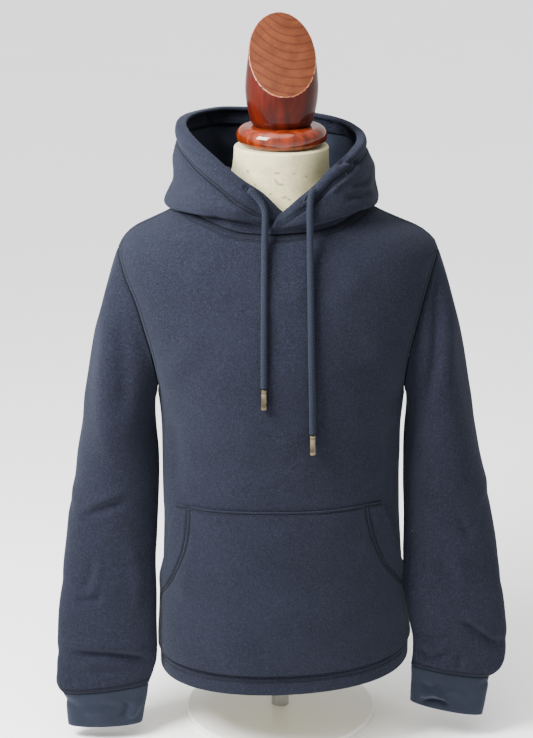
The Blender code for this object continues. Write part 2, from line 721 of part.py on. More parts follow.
def hood_panel(name, side, collection):
    def rows_of(turn):
        pressed = LAP_CLOTH if turn < 16 else DOUBLE
        channel, rest = hood_levels(side, turn)
        rows = [(v, 0.0, pressed) for v in channel]
        rows[0] = (0.0, 0.0, CLOTH)
        rows[1] = (0.5, 0.0, 0.5 * (CLOTH + pressed))
        return rows + [(v, 0.0, CLOTH) for v in rest]

    return hood_wall(name, side, hood_columns(side), rows_of, "navy_fleece", collection)


def hood_lining(name, side, collection):
    """Lining from under the channel down to the bottom of the hood's hollow."""
    columns = [column for column in hood_columns(side) if column[0] > LINING_START]
    depth = CLOTH + GAP

    def rows_of(turn):
        channel, middle = hood_levels(side, turn)[1][:2]
        return [(channel + 0.08, depth + LINING_SLACK, LINING),
                (middle, depth, LINING),
                (3.0, depth, LINING)]

    return hood_wall(name, side, columns, rows_of, "navy_jersey", collection)


# ---------------------------------------------------------------- drawcord

def drawcord(side_name, route, collection):
    """Cord end as a tube, and the metal aglet that hangs from it."""
    knots = [Vector(point) for point in route]
    length = sum((b - a).length for a, b in zip(knots, knots[1:]))
    count = round(length / CORD_STEP)
    curve = bpy.data.curves.new("drawcord_" + side_name, "CURVE")
    curve.dimensions = "3D"
    curve.bevel_depth = CORD_RADIUS * MM
    curve.bevel_resolution = 2
    curve.use_fill_caps = True
    spline = curve.splines.new("POLY")
    spline.points.add(count)
    for i, point in enumerate(spline.points):
        place = curve_through(knots, level_at(knots, length * i / count)) * MM
        point.co = (place.x, place.y, place.z, 1.0)
    add_object("drawcord_" + side_name, curve, "navy_braid", collection)

    down = (knots[-1] - knots[-2]).normalized()
    aglet = turned("aglet_" + side_name, AGLET_PROFILE, "nickel", collection, steps=16)
    aglet.location = (knots[-1] + down * GAP) * MM
    aglet.rotation_euler = (-down).to_track_quat("Z", "Y").to_euler()


# ---------------------------------------------------------------- dress form

def form_torso(collection):
    heights = [FORM_BOTTOM, 160, 220, 290, 360, 425, 480, 530, 570, 605, 635, 655, 671, 686,
               699, 710, 721, 732, 745, 760, 780, NECK_TOP]
    around = 36
    body = bmesh.new()
    rings = []
    for height in heights:
        inset = FORM_INSET.at(height).inset
        rings.append([body.verts.new(on_body(360 * j / around, height, -inset) * MM)
                      for j in range(around)])
    for lower, upper in zip(rings, rings[1:]):
        for j in range(around):
            k = (j + 1) % around
            body.faces.new((lower[j], lower[k], upper[k], upper[j]))
    body.faces.new(rings[0])
    body.faces.new(rings[-1])
    for vertex in rings[0]:
        vertex.co.z = FORM_BOTTOM * MM
    for vertex in rings[-1]:
        vertex.co.z = NECK_TOP * MM
    bmesh.ops.recalc_face_normals(body, faces=body.faces)
    mesh = bpy.data.meshes.new("form_torso")
    body.to_mesh(mesh)
    body.free()
    mesh.shade_smooth()
    mesh.set_sharp_from_angle(angle=math.radians(50))
    return add_object("form_torso", mesh, "cream_canvas", collection)


def turned(name, profile, material, collection, steps=28):
    """Solid of revolution: the profile (radius, height) runs down its outer side."""
    mesh = bpy.data.meshes.new(name)
    points = [Vector((radius, 0, height)) * MM for radius, height in profile]
    mesh.from_pydata(points, [(i, i + 1) for i in range(len(points) - 1)], [])
    thing = add_object(name, mesh, material, collection)
    screw = thing.modifiers.new("Turn", "SCREW")
    screw.steps = steps
    screw.render_steps = steps
    screw.use_merge_vertices = True
    screw.merge_threshold = 0.00005
    return thing


def form_ring(collection):
    bottom = NECK_TOP + GAP
    radius = RING_HEIGHT / 2
    profile = [(0, bottom + RING_HEIGHT)]
    for i in range(9):
        lean = math.radians(90 - 180 * i / 8)
        profile.append((RING_RADIUS - radius + radius * math.cos(lean),
                        bottom + radius + radius * math.sin(lean)))
    profile.append((0, bottom))
    return turned("form_ring", profile, "varnished_wood", collection)


def form_finial(collection, cutters):
    finial = turned("form_finial", FINIAL_PROFILE, "varnished_wood", collection)
    size = 0.3
    bpy.ops.mesh.primitive_cube_add(size=size)
    cutter = bpy.context.active_object
    cutter.name = "finial_cutter"
    for owner in list(cutter.users_collection):
        owner.objects.unlink(cutter)
    cutters.objects.link(cutter)
    cutter.hide_render = True
    cutter.display_type = "WIRE"
    slant = Matrix.Rotation(math.radians(FINIAL_CUT_ANGLE), 4, "X")
    lift = slant @ Vector((0, 0, size / 2))
    cutter.matrix_world = Matrix.Translation(FINIAL_CUT_FRONT * MM + lift) @ slant
    cut = finial.modifiers.new("Slanted cut", "BOOLEAN")
    cut.operation = "DIFFERENCE"
    cut.object = cutter
    return finial


def form_stand(collection):
    base = [(0, BASE_HEIGHT), (BASE_RADIUS - 4, BASE_HEIGHT), (BASE_RADIUS - 1.2, BASE_HEIGHT - 1),
            (BASE_RADIUS, BASE_HEIGHT - 3), (BASE_RADIUS, 1), (BASE_RADIUS - 1, 0), (0, 0)]
    plate = turned("form_base", base, "white_enamel", collection, steps=40)
    plate.location.y = STAND_Y * MM
    start, end = BASE_HEIGHT + GAP, FORM_BOTTOM - GAP
    bpy.ops.mesh.primitive_cylinder_add(
        vertices=20, radius=POLE_RADIUS * MM, depth=(end - start) * MM,
        location=(0, STAND_Y * MM, (start + end) / 2 * MM))
    pole = bpy.context.active_object
    pole.name = "form_pole"
    pole.data.materials.append(bpy.data.materials["steel"])
    for owner in list(pole.users_collection):
        owner.objects.unlink(pole)
    collection.objects.link(pole)


def main():
    clear_scene()
    make_materials()
    hoodie = make_collection("pullover_hoodie")
    cutters = make_collection("cutters")
    panel("front", 0, ARMHOLE_FRONT, hoodie)
    panel("back", 180, ARMHOLE_BACK, hoodie)
    sleeve("sleeve_left", SLEEVE_LEFT, -1, hoodie)
    sleeve("sleeve_right", SLEEVE_RIGHT, 1, hoodie)
    cuff("cuff_left", CUFF_LEFT, -1, hoodie)
    cuff("cuff_right", CUFF_RIGHT, 1, hoodie)
    pocket(hoodie)
    hood_panel("hood_left", -1, hoodie)
    hood_panel("hood_right", 1, hoodie)
    hood_lining("hood_lining_left", -1, hoodie)
    hood_lining("hood_lining_right", 1, hoodie)
    drawcord("left", DRAWCORD_LEFT, hoodie)
    drawcord("right", DRAWCORD_RIGHT, hoodie)
    form_torso(hoodie)
    form_ring(hoodie)
    form_finial(hoodie, cutters)
    form_stand(hoodie)


main()
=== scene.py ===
"""Looks of a navy pullover hoodie worn by a limbless dress form.

World frame: metres, +Z up, the front faces -Y, left and right as seen from the
front. Tables and functions work in millimetres and degrees. An angle on the body
starts at the right side seam (0), passes the centre front (90), the left side seam
(180) and the centre back (270).
"""

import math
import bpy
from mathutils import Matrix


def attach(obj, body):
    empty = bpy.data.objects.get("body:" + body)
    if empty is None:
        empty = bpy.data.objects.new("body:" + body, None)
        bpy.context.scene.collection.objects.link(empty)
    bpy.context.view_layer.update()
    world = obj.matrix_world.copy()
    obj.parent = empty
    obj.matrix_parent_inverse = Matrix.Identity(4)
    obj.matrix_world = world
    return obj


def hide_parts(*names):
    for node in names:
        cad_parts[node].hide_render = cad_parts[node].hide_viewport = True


bl_info = {
    "name": "Hoodie on a dress form",
    "version": (1, 0, 0),
    "blender": (4, 5, 0),
    "location": "View3D > Sidebar > Hoodie",
    "description": "Builds a fleece pullover hoodie on a dress form with a turned neck block",
    "category": "Object",
}

from types import SimpleNamespace

import bmesh
import bpy
import numpy as np
from bpy.props import FloatProperty, FloatVectorProperty, IntProperty, PointerProperty
from bpy.types import Operator, Panel, PropertyGroup
from mathutils import Matrix, Vector
from mathutils.bvhtree import BVHTree

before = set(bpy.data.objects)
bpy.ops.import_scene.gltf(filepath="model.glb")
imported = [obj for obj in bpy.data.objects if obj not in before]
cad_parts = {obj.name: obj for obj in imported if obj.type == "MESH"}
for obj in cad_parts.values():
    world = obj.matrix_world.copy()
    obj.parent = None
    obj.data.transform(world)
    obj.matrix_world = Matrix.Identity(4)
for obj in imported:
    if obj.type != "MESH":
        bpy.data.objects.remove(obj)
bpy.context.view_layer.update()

MM = 0.001

# -------------------- sizes of the cut

CLOTH = 2.0
DOUBLE = 4.2
CUFF_CLOTH = 3.0
LINING = 1.0
GAP = 0.35

HEM_HEIGHT = 100.0
HEM_TILT = 8.0
HEM_DEPTH = 27.0
NEEDLE_SPACE = 5.6               # between the two rows of twin stitching
ARMHOLE_MIDDLE = 573.5
ARMHOLE_HALF = 94.5
ARMHOLE_FRONT = 25.0
ARMHOLE_BACK = 22.0
ARMHOLE_ROUND = 0.8
UPPER_SLEEVE = 150.0             # about the length from the armhole to the upper arm's table
LOWER_SLEEVE = 400.0             # and from there to the cuff
NECK_MARGIN = 0.5
NECK_RISE = 0.9

HOOD_CENTRE = np.array((0.0, 8.0, 0.0))
CHANNEL_LEFT = 39.0              # drawcord channel, measured from the face edge
CHANNEL_RIGHT = 26.0
CHANNEL_BACK = 30.0
LAP_OVER = 2.4
LAP_UNDER = -3.2
LAP_CLOTH = 3.2
HOOD_PAST_LEFT = 6.0
HOOD_PAST_RIGHT = 9.5
LAP_ROUND = 2.4
LINING_START = 38.0
LINING_FOOT = 746.0              # height of the lining's end on the form's neck
HOOD_EASE = 1.12                 # above 1 a hood half's columns stand closer at the front
HOOD_ARC = 2.3                   # length of a degree at the back of the hood

POCKET_RISE = HEM_DEPTH + 3.0    # of the pocket's lower edge above the hem's edge
POCKET_HEIGHT = 222.0
POCKET_CORNER = 0.31             # share of the height at which the mouths start
POCKET_RADIUS = 148.0            # of the body beside the mouths
POCKET_STAND_OFF = 1.2
POCKET_MOUTH_LIFT = 4.2
POCKET_BAND = 24.0               # from a pocket mouth to its first row of stitches, at its ends
POCKET_BAND_SPREAD = 13.0        # how much wider the band is half way

CORD_RADIUS = 4.25
BRAID_DEPTH = 0.8
NECK_TOP = 800.0
NECK_RADIUS = 57.0
NECK_EDGE = 2.6                  # rounding of the neck's top edge
FORM_BOTTOM = 116.0
RING_RADIUS = 57.0
RING_HEIGHT = 25.0
CUT_FRONT = Vector((0.0, -41.0, 872.5))
CUT_ANGLE = 48.4
CUT_TURN = 6.0                   # of the sawn face to the right
POLE_RADIUS = 12.0
STAND_Y = 32.0
BASE_RADIUS = 130.0
BASE_HEIGHT = 8.0

CAMERA_PLACE = (-0.019, -2.4, 1.2665)
CAMERA_TILT = 17.6               # below level
CAMERA_LENS = 94.5
FLOOR_REACH = 30.0


class Table:
    """Rows of named columns, read on a smooth curve that never overshoots a row."""

    def __init__(self, columns, *rows, flat_end=False):
        data = np.array(rows, dtype=float)
        self.names = columns.split()[1:]
        self.key = data[:, 0]
        self.value = data[:, 1:]
        self.step = np.diff(self.key)
        rise = np.diff(self.value, axis=0) / self.step[:, None]
        self.slope = np.zeros_like(self.value)
        self.slope[0] = rise[0]
        self.slope[-1] = 0.0 if flat_end else rise[-1]
        for i in range(1, len(self.key) - 1):
            before, after = rise[i - 1], rise[i]
            same_way = before * after > 0
            total = np.where(same_way, before + after, 1.0)
            self.slope[i] = np.where(same_way, 2 * before * after / total, 0.0)

    def at(self, key):
        key = np.clip(np.asarray(key, dtype=float), self.key[0], self.key[-1])
        i = np.clip(np.searchsorted(self.key, key, side="right") - 1, 0, len(self.step) - 1)
        step = self.step[i][..., None]
        t = (key - self.key[i])[..., None] / step
        value = (self.value[i] * (1 + 2 * t) * (1 - t) ** 2
                 + self.slope[i] * step * t * (1 - t) ** 2
                 + self.value[i + 1] * t * t * (3 - 2 * t)
                 + self.slope[i + 1] * step * t * t * (t - 1))
        return SimpleNamespace(**{name: value[..., k] for k, name in enumerate(self.names)})


TORSO = Table(
    "height half_width front back middle_x middle_y square",
    (60, 168, 128, 118, 5, 0, 0.030),
    (130, 168, 128, 118, 5, 0, 0.030),
    (165, 165, 128, 117, 4, 0, 0.030),
    (210, 162, 127, 114, 3, 0, 0.030),
    (265, 158, 126, 109, 2, 0, 0.030),
    (320, 156, 125, 104, 1, 0, 0.028),
    (370, 156, 125, 101, 0, 0, 0.025),
    (425, 156, 128, 101, 0, 0, 0.020),
    (480, 161, 132, 106, 0, 0, 0.015),
    (530, 175, 132, 112, -1, 0, 0.008),
    (570, 189, 127, 114, -2, 0, 0.0),
    (610, 199, 118, 113, -3, 0, 0.0),
    (640, 205, 110, 110, -5, 2, 0.0),
    (658, 206, 104, 107, -5, 4, 0.0),
    (674, 201.5, 98, 103, -4, 5, 0.0),
    (690, 186.5, 91, 98, -5.5, 6, 0.0),
    (703, 159, 84, 93, -8, 6, 0.0),
    (713, 137.5, 80, 89, -9, 6, 0.0),
    (722, 123, 76, 85, -10, 6, 0.0),
    (730, 103, 73, 80, -10, 6, 0.0),
    (740, 85, 68, 74, -7, 5, 0.0),
    (755, 72, 64, 67, -3, 3, 0.0),
    (775, 64, 61.5, 62, -1, 1, 0.0),
    (810, 60, 60, 60, 0, 0, 0.0),
)

NECKLINE = Table(
    "angle height",
    (0, 728), (36, 721.5), (54, 714), (66, 709), (78, 705.5), (90, 704), (104, 705),
    (114, 709), (126, 715.5), (144, 721.5), (180, 728), (225, 732), (270, 734),
    (315, 732), (360, 728),
)

FORM_INSET = Table(
    "height inset",
    (100, 14), (430, 12), (520, 7), (590, 3.9), (640, 3.7), (680, 3.8), (698, 6.0),
    (722, 8.5), (740, 6.5), (765, 4), (800, 1.5),
)

SLEEVE_COLUMNS = "down outer inner middle_y half_depth height tilt"

SLEEVE_LEFT = Table(
    SLEEVE_COLUMNS,
    (0.00, -261, -163, -8, 62, 430, 0.0),
    (0.08, -266, -161, -11, 56, 400, 0.0),
    (0.19, -271, -160, -16, 49, 362, 0.0),
    (0.31, -279, -161, -22, 42, 320, 0.01),
    (0.40, -284, -163, -27, 37, 287, 0.02),
    (0.50, -288, -165, -31, 33, 253, 0.03),
    (0.60, -292, -165, -36, 30, 215, 0.04),
    (0.70, -295.5, -165, -41, 27, 180, 0.06),
    (0.80, -298, -165, -45, 24, 142, 0.08),
    (0.87, -299, -165, -47, 21, 118, 0.10),
    (0.91, -299.5, -166, -48, 18, 104, 0.11),
    (0.95, -300.5, -169, -49, 19.5, 92, 0.12),
    (0.98, -298, -173, -49.5, 18, 81, 0.127),
    (1.00, -293, -176.5, -50, 15, 73.5, 0.127),
)

SLEEVE_RIGHT = Table(
    SLEEVE_COLUMNS,
    (0.00, 254, 161, -10, 60, 430, 0.0),
    (0.08, 260, 160, -14, 54, 400, 0.0),
    (0.19, 269, 160, -19, 48, 362, 0.0),
    (0.31, 277, 160.5, -25, 42, 320, 0.01),
    (0.40, 283, 161, -29, 37, 287, 0.02),
    (0.50, 288, 162, -33, 33, 253, 0.04),
    (0.60, 294, 164, -38, 30, 215, 0.06),
    (0.70, 299, 168, -42, 27, 180, 0.08),
    (0.80, 302, 172, -45, 24, 155, 0.10),
    (0.87, 301, 175, -47, 21, 138, 0.12),
    (0.91, 299.5, 175.5, -48, 18, 124, 0.14),
    (0.95, 295, 175.5, -49, 19.5, 113, 0.155),
    (0.98, 288, 175, -49.5, 18, 105, 0.163),
    (1.00, 280, 174, -50, 15, 99.5, 0.163),
)

CUFF_LEFT = Table(
    SLEEVE_COLUMNS,
    (0.0, -292.6, -177, -50, 14.6, 73.0, 0.127),
    (0.2, -289.5, -178, -50, 15, 64.0, 0.11),
    (0.9, -287, -186, -51, 14.5, 25.0, 0.05),
    (1.0, -286.5, -187, -51, 14, 20.5, 0.04),
)

CUFF_RIGHT = Table(
    SLEEVE_COLUMNS,
    (0.0, 279.5, 174.5, -50, 14.6, 98.8, 0.163),
    (0.2, 279, 174.5, -50, 15, 90.0, 0.17),
    (0.9, 273, 174, -51, 14.5, 49.0, 0.20),
    (1.0, 272, 174, -51, 14, 44.0, 0.21),
)

HOOD_COLUMN_NAMES = ("turn rim_out rim_height brow_out brow_height side_out side_height"
                     " belly_out belly_height fold_height fold_lift tuck_lift")
HOOD_LEFT = Table(
    HOOD_COLUMN_NAMES,
    (0, 88.5, 733.5, 91.5, 729.5, 94.5, 723, 95.7, 716, 709.5, 3.5, 1.8),
    (15, 90.5, 756, 95.0, 752.5, 99.5, 737, 102.0, 722, 713, 4.0, 1.8),
    (28, 95.0, 770, 101.0, 767, 107.5, 748, 111.0, 726, 717.5, 4.5, 2.2),
    (40, 101.0, 785, 107.5, 782, 114.5, 757, 118.5, 728, 719.5, 4.5, 3.0),
    (51, 105.5, 798, 113.5, 795, 122.0, 758, 127.5, 728, 720, 4.5, 3.6),
    (63, 110.0, 809, 119.0, 806, 128.5, 756, 135.5, 728, 719, 5.5, 2.8),
    (76, 115.5, 819, 126.0, 816, 133.5, 754, 142.5, 727, 717.5, 5.5, 2.6),
    (90, 119.5, 826, 130.5, 822.5, 137.0, 753, 148.5, 726.5, 716.5, 5.5, 2.6),
    (115, 121.5, 829.5, 132.5, 826.5, 142.0, 757, 153.5, 721, 702, 8.5, 4.0),
    (140, 124.0, 828.5, 133.5, 826.5, 145.0, 762, 155.0, 698, 658, 14.0, 5.0),
    (160, 125.5, 824.5, 134.0, 822.5, 146.0, 761, 156.0, 662, 614, 17.0, 5.0),
    (180, 125.5, 820.5, 134.0, 818.5, 146.0, 760, 156.0, 642, 594, 18.0, 5.0),
    flat_end=True,
)

HOOD_RIGHT = Table(
    HOOD_COLUMN_NAMES,
    (0, 88.5, 733.5, 91.5, 729.5, 94.5, 723, 95.7, 716, 709.5, 3.5, 1.8),
    (15, 87.0, 753, 92.0, 749.5, 97.0, 734, 99.5, 720.5, 711, 3.5, 1.8),
    (28, 88.5, 767, 95.0, 764, 102.0, 745, 105.5, 724, 714, 4.0, 2.0),
    (38, 90.5, 781, 98.0, 778, 105.5, 755, 110.0, 727, 716.5, 4.5, 2.4),
    (50, 92.5, 791.5, 101.0, 788.5, 109.5, 764, 115.0, 729, 719.5, 4.5, 3.2),
    (60, 94.5, 799.5, 103.5, 796.5, 112.5, 768, 119.0, 732.5, 721, 5.5, 2.8),
    (70, 95.0, 805, 104.5, 802, 113.8, 769, 121.5, 732.5, 720, 5.5, 2.6),
    (90, 94.5, 810.5, 104.0, 807.5, 114.5, 768, 123.5, 732.0, 719.5, 5.5, 2.6),
    (115, 98.5, 813, 108.5, 810.5, 123.0, 768, 134.5, 724, 704, 8.5, 4.0),
    (135, 107.0, 815, 117.0, 813, 133.0, 765, 145.0, 704, 668, 13.0, 5.0),
    (156, 117.5, 817, 126.5, 815, 142.0, 762, 154.0, 667, 621, 16.5, 5.0),
    (180, 125.5, 820.5, 134.0, 818.5, 146.0, 760, 156.0, 642, 594, 18.0, 5.0),
    flat_end=True,
)

POCKET_SIDES = Table(
    "height right left",
    (100, 0.8, 179.2), (206, 0.8, 179.2), (214, 3.5, 176.8), (226, 9, 171.5),
    (246, 16, 165.5), (270, 23, 160), (298, 28.5, 154.5), (326, 33, 151),
    (346, 36.4, 148.6), (356, 37, 148),
)

POCKET_TOP = Table(
    "angle height",
    (0, 350), (37, 352), (50, 355), (90, 355.5), (132, 350), (149, 345.5), (180, 345),
)

DRAWCORD_LEFT = (
    (-41.0, -86.2, 761.0), (-36.7, -86.6, 758.4), (-31.8, -87.2, 753.6),
    (-26.9, -88.0, 748.0), (-23.5, -89.2, 742.0), (-21.2, -90.8, 735.5),
    (-20.6, -92.4, 728.0), (-20.8, -93.9, 716.0), (-21.2, -95.9, 700.0),
    (-21.5, -99.6, 686.0), (-21.6, -107.2, 664.0), (-21.8, -116.2, 635.0),
    (-22.0, -124.9, 600.0), (-22.1, -132.8, 560.0), (-22.1, -135.9, 530.0),
    (-22.1, -136.2, 522.5),
)

DRAWCORD_RIGHT = (
    (38.0, -83.4, 761.5), (36.4, -85.0, 757.6), (35.0, -86.9, 752.6),
    (34.2, -89.4, 745.5), (33.8, -91.8, 738.0), (33.8, -94.2, 728.0),
    (34.0, -95.9, 716.0), (34.2, -97.6, 703.0), (34.4, -100.6, 686.0),
    (34.7, -106.6, 664.0), (35.1, -114.6, 635.0), (35.6, -123.3, 600.0),
    (36.2, -131.0, 560.0), (36.9, -134.0, 530.0), (37.5, -134.4, 500.0),
    (38.1, -134.4, 462.5),
)

FINIAL_PROFILE = Table(
    "height radius",
    (825.8, 36), (830, 38.5), (841, 41.5), (856, 44.3), (872, 45.5), (890, 44.4),
    (910, 42.2), (930, 40), (950, 38.2), (975, 36.5), (990, 35),
)
AGLET_PROFILE = (                # radius, height below its top
    (0, 0), (3.2, 0), (3.9, -0.3), (4.2, -0.9), (4.2, -2.6), (3.85, -3.1), (3.85, -3.7),
    (4.2, -4.2), (4.2, -5.4), (3.95, -6.0), (3.95, -20.4), (4.2, -21.0), (4.2, -25.0),
    (4.0, -25.7), (3.3, -26), (0, -26),
)


# -------------------- settings

def linear(hex_colour):
    """Linear RGB of an sRGB hex colour."""
    values = [int(hex_colour[i:i + 2], 16) / 255 for i in (1, 3, 5)]
    return [v / 12.92 if v <= 0.04045 else ((v + 0.055) / 1.055) ** 2.4 for v in values]


def tint(name, description, hex_colour):
    return FloatVectorProperty(name=name, description=description, subtype="COLOR",
                               default=linear(hex_colour), min=0.0, max=1.0)


def length(name, description, default_mm, low, high):
    return FloatProperty(name=name, description=description, default=default_mm * MM,
                         min=low * MM, max=high * MM, unit="LENGTH", precision=4)


class HoodieSizes(PropertyGroup):
    stitch: length("Stitch", "Length of one stitch", 2.7, 1, 6)
    stitch_space: length("Stitch space", "Space between two stitches of a row", 0.75, 0.2, 4)
    needle_space: length("Needle space", "Space between the rows of twin stitching",
                         NEEDLE_SPACE, 2, 12)
    thread: length("Thread", "Thickness of the sewing thread", 0.62, 0.2, 1.5)
    nap: length("Nap", "Size of the fleece's tufts", 1.5, 0.5, 6)
    rib: length("Rib", "Width of one rib of the hood's jersey lining", 3.0, 1.5, 8)
    creases: FloatProperty(name="Creases", description="Depth of the creases, 1 is as worn",
                           default=1.0, min=0.0, max=2.0, subtype="FACTOR")
    strands: IntProperty(name="Strands", description="Strands each way round a drawcord",
                         default=6, min=3, max=16)


class HoodieColours(PropertyGroup):
    fleece: tint("Fleece", "Brushed outside of the cloth", "#101219")
    fleece_tuft: tint("Fleece tufts", "Lighter ends of the nap", "#292C3B")
    lining: tint("Lining", "Jersey inside the hood", "#1B1F2A")
    rib: tint("Rib", "Knit of the cuffs", "#0F141D")
    braid: tint("Braid", "Drawcords", "#1B202C")
    thread: tint("Thread", "Sewing thread", "#1A202C")
    canvas: tint("Canvas", "Cover of the dress form", "#B3AC86")
    wood: tint("Varnished wood", "Stained neck block", "#3C0B02")
    ring_wood: tint("Ring", "Lighter stained ring under the block", "#642006")
    wood_dark: tint("Dark grain", "Late wood and stain in the grain", "#240603")
    sawn: tint("Sawn wood", "Cut face of the neck block", "#4E2815")
    nickel: tint("Nickel", "Cord tips", "#6F6552")
    enamel: tint("Enamel", "Stand's foot", "#E4E4E1")
    steel: tint("Steel", "Stand's pole", "#B5B7BA")
    floor: tint("Floor", "Studio floor", "#FBFBFB")


def sizes():
    return bpy.context.scene.hoodie_sizes


def colour(name):
    return (*getattr(bpy.context.scene.hoodie_colours, name), 1.0)


# -------------------- helpers

def mix(start, end, t):
    return start + (end - start) * t


def smooth_step(t):
    t = np.clip(t, 0.0, 1.0)
    return t * t * (3 - 2 * t)


def bump_at(value, centre, width):
    """1 at the centre, falling softly to 0 over about twice the width."""
    return np.exp(-((value - centre) / width) ** 2)


def vec(x, y, z):
    return np.stack(np.broadcast_arrays(x, y, z), axis=-1).astype(float)


def unit(v):
    return v / np.maximum(np.linalg.norm(v, axis=-1, keepdims=True), 1e-9)


def dot(a, b):
    return np.sum(a * b, axis=-1)


def lifted(points, normals, lift):
    return points + normals * np.asarray(lift)[..., None]


def refined(start, end, step, marks=(), fine=0.9, reach=2.5):
    """Positions from start to end, closer together near the marks."""
    spots = [start]
    while spots[-1] < end:
        near = min((abs(spots[-1] - mark) for mark in marks), default=math.inf)
        spots.append(spots[-1] + min(step, fine + 0.35 * max(0.0, near - reach)))
    spots = np.array(spots)
    return start + (spots - start) * (end - start) / (spots[-1] - start)


def running_total(steps):
    """0 and the sums of the steps along the last axis."""
    return np.concatenate([np.zeros_like(steps[..., :1]), np.cumsum(steps, axis=-1)], axis=-1)


def at_index(values, i):
    """values[..., i] for an array of indices."""
    return np.take_along_axis(values, i[..., None], axis=-1)[..., 0]


def lengths_along(path):
    return running_total(np.linalg.norm(np.diff(path, axis=0), axis=-1))


def distance_to(path, places):
    """Distance from each of places (n, d) to a path (m, d)."""
    best = np.full(len(places), np.inf)
    for a, b in zip(path[:-1], path[1:]):
        run = b - a
        t = np.clip((places - a) @ run / max(run @ run, 1e-9), 0, 1)
        best = np.minimum(best, np.linalg.norm(places - a - t[:, None] * run, axis=1))
    return best


def trough(points, paths, width, depth):
    """Lift (negative) of cloth that is pulled in along paths on it."""
    flat = points.reshape(-1, 3)
    lift = np.zeros(len(flat))
    for path in paths:
        low, high = path.min(axis=0) - 3 * width, path.max(axis=0) + 3 * width
        near = np.all((flat > low) & (flat < high), axis=1)
        if near.any():
            pulled = -depth * bump_at(distance_to(path, flat[near]), 0, width)
            lift[near] = np.minimum(lift[near], pulled)
    return lift.reshape(points.shape[:-1])


def hollow_shade(points, paths, *edges):
    """Painted shade and flat nap, 0 to 1, along stitching and at these distances from seams."""
    flat = -trough(points, paths, 1.5, 1.5)
    for distance in edges:
        flat = np.maximum(flat, 0.8 * bump_at(distance, 0, 1.2))
    return np.clip(flat, 0, 1)


# -------------------- body

def body_surface(angle, height):
    section = TORSO.at(height)
    turn = np.radians(angle)
    cosine, sine = np.cos(turn), np.sin(turn)
    swell = 1 + section.square * np.sin(2 * turn) ** 2
    depth = np.where(sine > 0, section.front + section.middle_y,
                     section.back - section.middle_y)
    return vec(section.middle_x + section.half_width * cosine * swell,
               section.middle_y - depth * sine * swell, height)


def body_normal(angle, height):
    around = body_surface(angle + 0.5, height) - body_surface(angle - 0.5, height)
    up = body_surface(angle, height + 0.5) - body_surface(angle, height - 0.5)
    return -unit(np.cross(around, up))


def on_body(angle, height, lift=0.0):
    return lifted(body_surface(angle, height), body_normal(angle, height),
                  np.broadcast_to(lift, np.broadcast_shapes(np.shape(angle), np.shape(height))))


def hem_height(angle):
    return HEM_HEIGHT + HEM_TILT * np.cos(np.radians(angle))


def seam_angle(height):
    return np.degrees(GAP / 2 / TORSO.at(height).front)


def armhole_cut(height, widest):
    t = (height - ARMHOLE_MIDDLE) / ARMHOLE_HALF
    return widest * np.maximum(1 - t * t, 0.0) ** (ARMHOLE_ROUND / 2)


# -------------------- sleeves

def sleeve_ring(table, down, turn, side):
    ring = table.at(down)
    cosine, sine = np.cos(np.radians(turn)), np.sin(np.radians(turn))
    reach = (ring.inner - ring.outer) / 2 * cosine
    return vec((ring.inner + ring.outer) / 2 + reach,
               ring.middle_y - ring.half_depth * sine,
               ring.height - ring.tilt * side * reach)


def armhole_point(turn, side, margin):
    sine = np.sin(np.radians(turn))
    widest = np.where(sine > 0, ARMHOLE_FRONT, -ARMHOLE_BACK) * side
    shrink = 1 - margin / 60
    height = ARMHOLE_MIDDLE - (ARMHOLE_HALF - margin) * np.cos(np.radians(turn))
    angle = (0 if side > 0 else 180) + widest * shrink * np.abs(sine) ** ARMHOLE_ROUND
    return angle, height


def sleeve_surface(table, side):
    """Function of (turn, v): v 0 is the armhole, 1 the upper arm and 2 the cuff seam."""

    def surface(turn, v):
        turn, v = np.broadcast_arrays(np.asarray(turn, float), np.asarray(v, float))
        low = np.clip(v, 0.0, 1.0)[..., None]
        cosine, sine = np.cos(np.radians(turn)), np.sin(np.radians(turn))
        start = on_body(*armhole_point(turn, side, 2 * GAP))
        end = sleeve_ring(table, np.zeros_like(turn), turn, side)
        leave = unit(vec(side * (0.35 + 0.3 * sine * sine), -0.35 * sine, -0.85))
        leave = leave * (37.5 - 22.5 * cosine)[..., None]
        arrive = sleeve_ring(table, np.full_like(turn, 0.02), turn, side) - end
        arrive = unit(arrive) * (47.5 - 32.5 * cosine)[..., None]
        upper = (start * (1 - low) ** 3 + (start + leave) * 3 * low * (1 - low) ** 2
                 + (end - arrive) * 3 * low * low * (1 - low) + end * low ** 3)
        return np.where((v > 1)[..., None], sleeve_ring(table, v - 1, turn, side), upper)

    return surface


# -------------------- hood

def knot_spans(knots):
    return np.linalg.norm(np.diff(knots, axis=-2), axis=-1)


def pick(values, i):
    """values[..., i, :] for an array of indices."""
    return np.take_along_axis(values, i[..., None, None], axis=-2)[..., 0, :]


def curve_through(knots, v):
    """Smooth curve through the knots; v counts them, so v 2.5 lies after the third."""
    last = knots.shape[-2] - 1
    v = np.clip(v, 0.0, last)
    i = np.minimum(np.floor(v).astype(int), last - 1)
    s = (v - i)[..., None]
    spans = knot_spans(knots)
    slope = np.empty_like(knots)
    slope[..., 0, :] = (knots[..., 1, :] - knots[..., 0, :]) / spans[..., 0, None]
    slope[..., -1, :] = (knots[..., -1, :] - knots[..., -2, :]) / spans[..., -1, None]
    slope[..., 1:-1, :] = ((knots[..., 2:, :] - knots[..., :-2, :])
                           / (spans[..., 1:] + spans[..., :-1])[..., None])
    span = at_index(spans, i)[..., None]
    return (pick(knots, i) * (1 + 2 * s) * (1 - s) ** 2
            + pick(slope, i) * span * s * (1 - s) ** 2
            + pick(knots, i + 1) * s * s * (3 - 2 * s)
            + pick(slope, i + 1) * span * s * s * (s - 1))


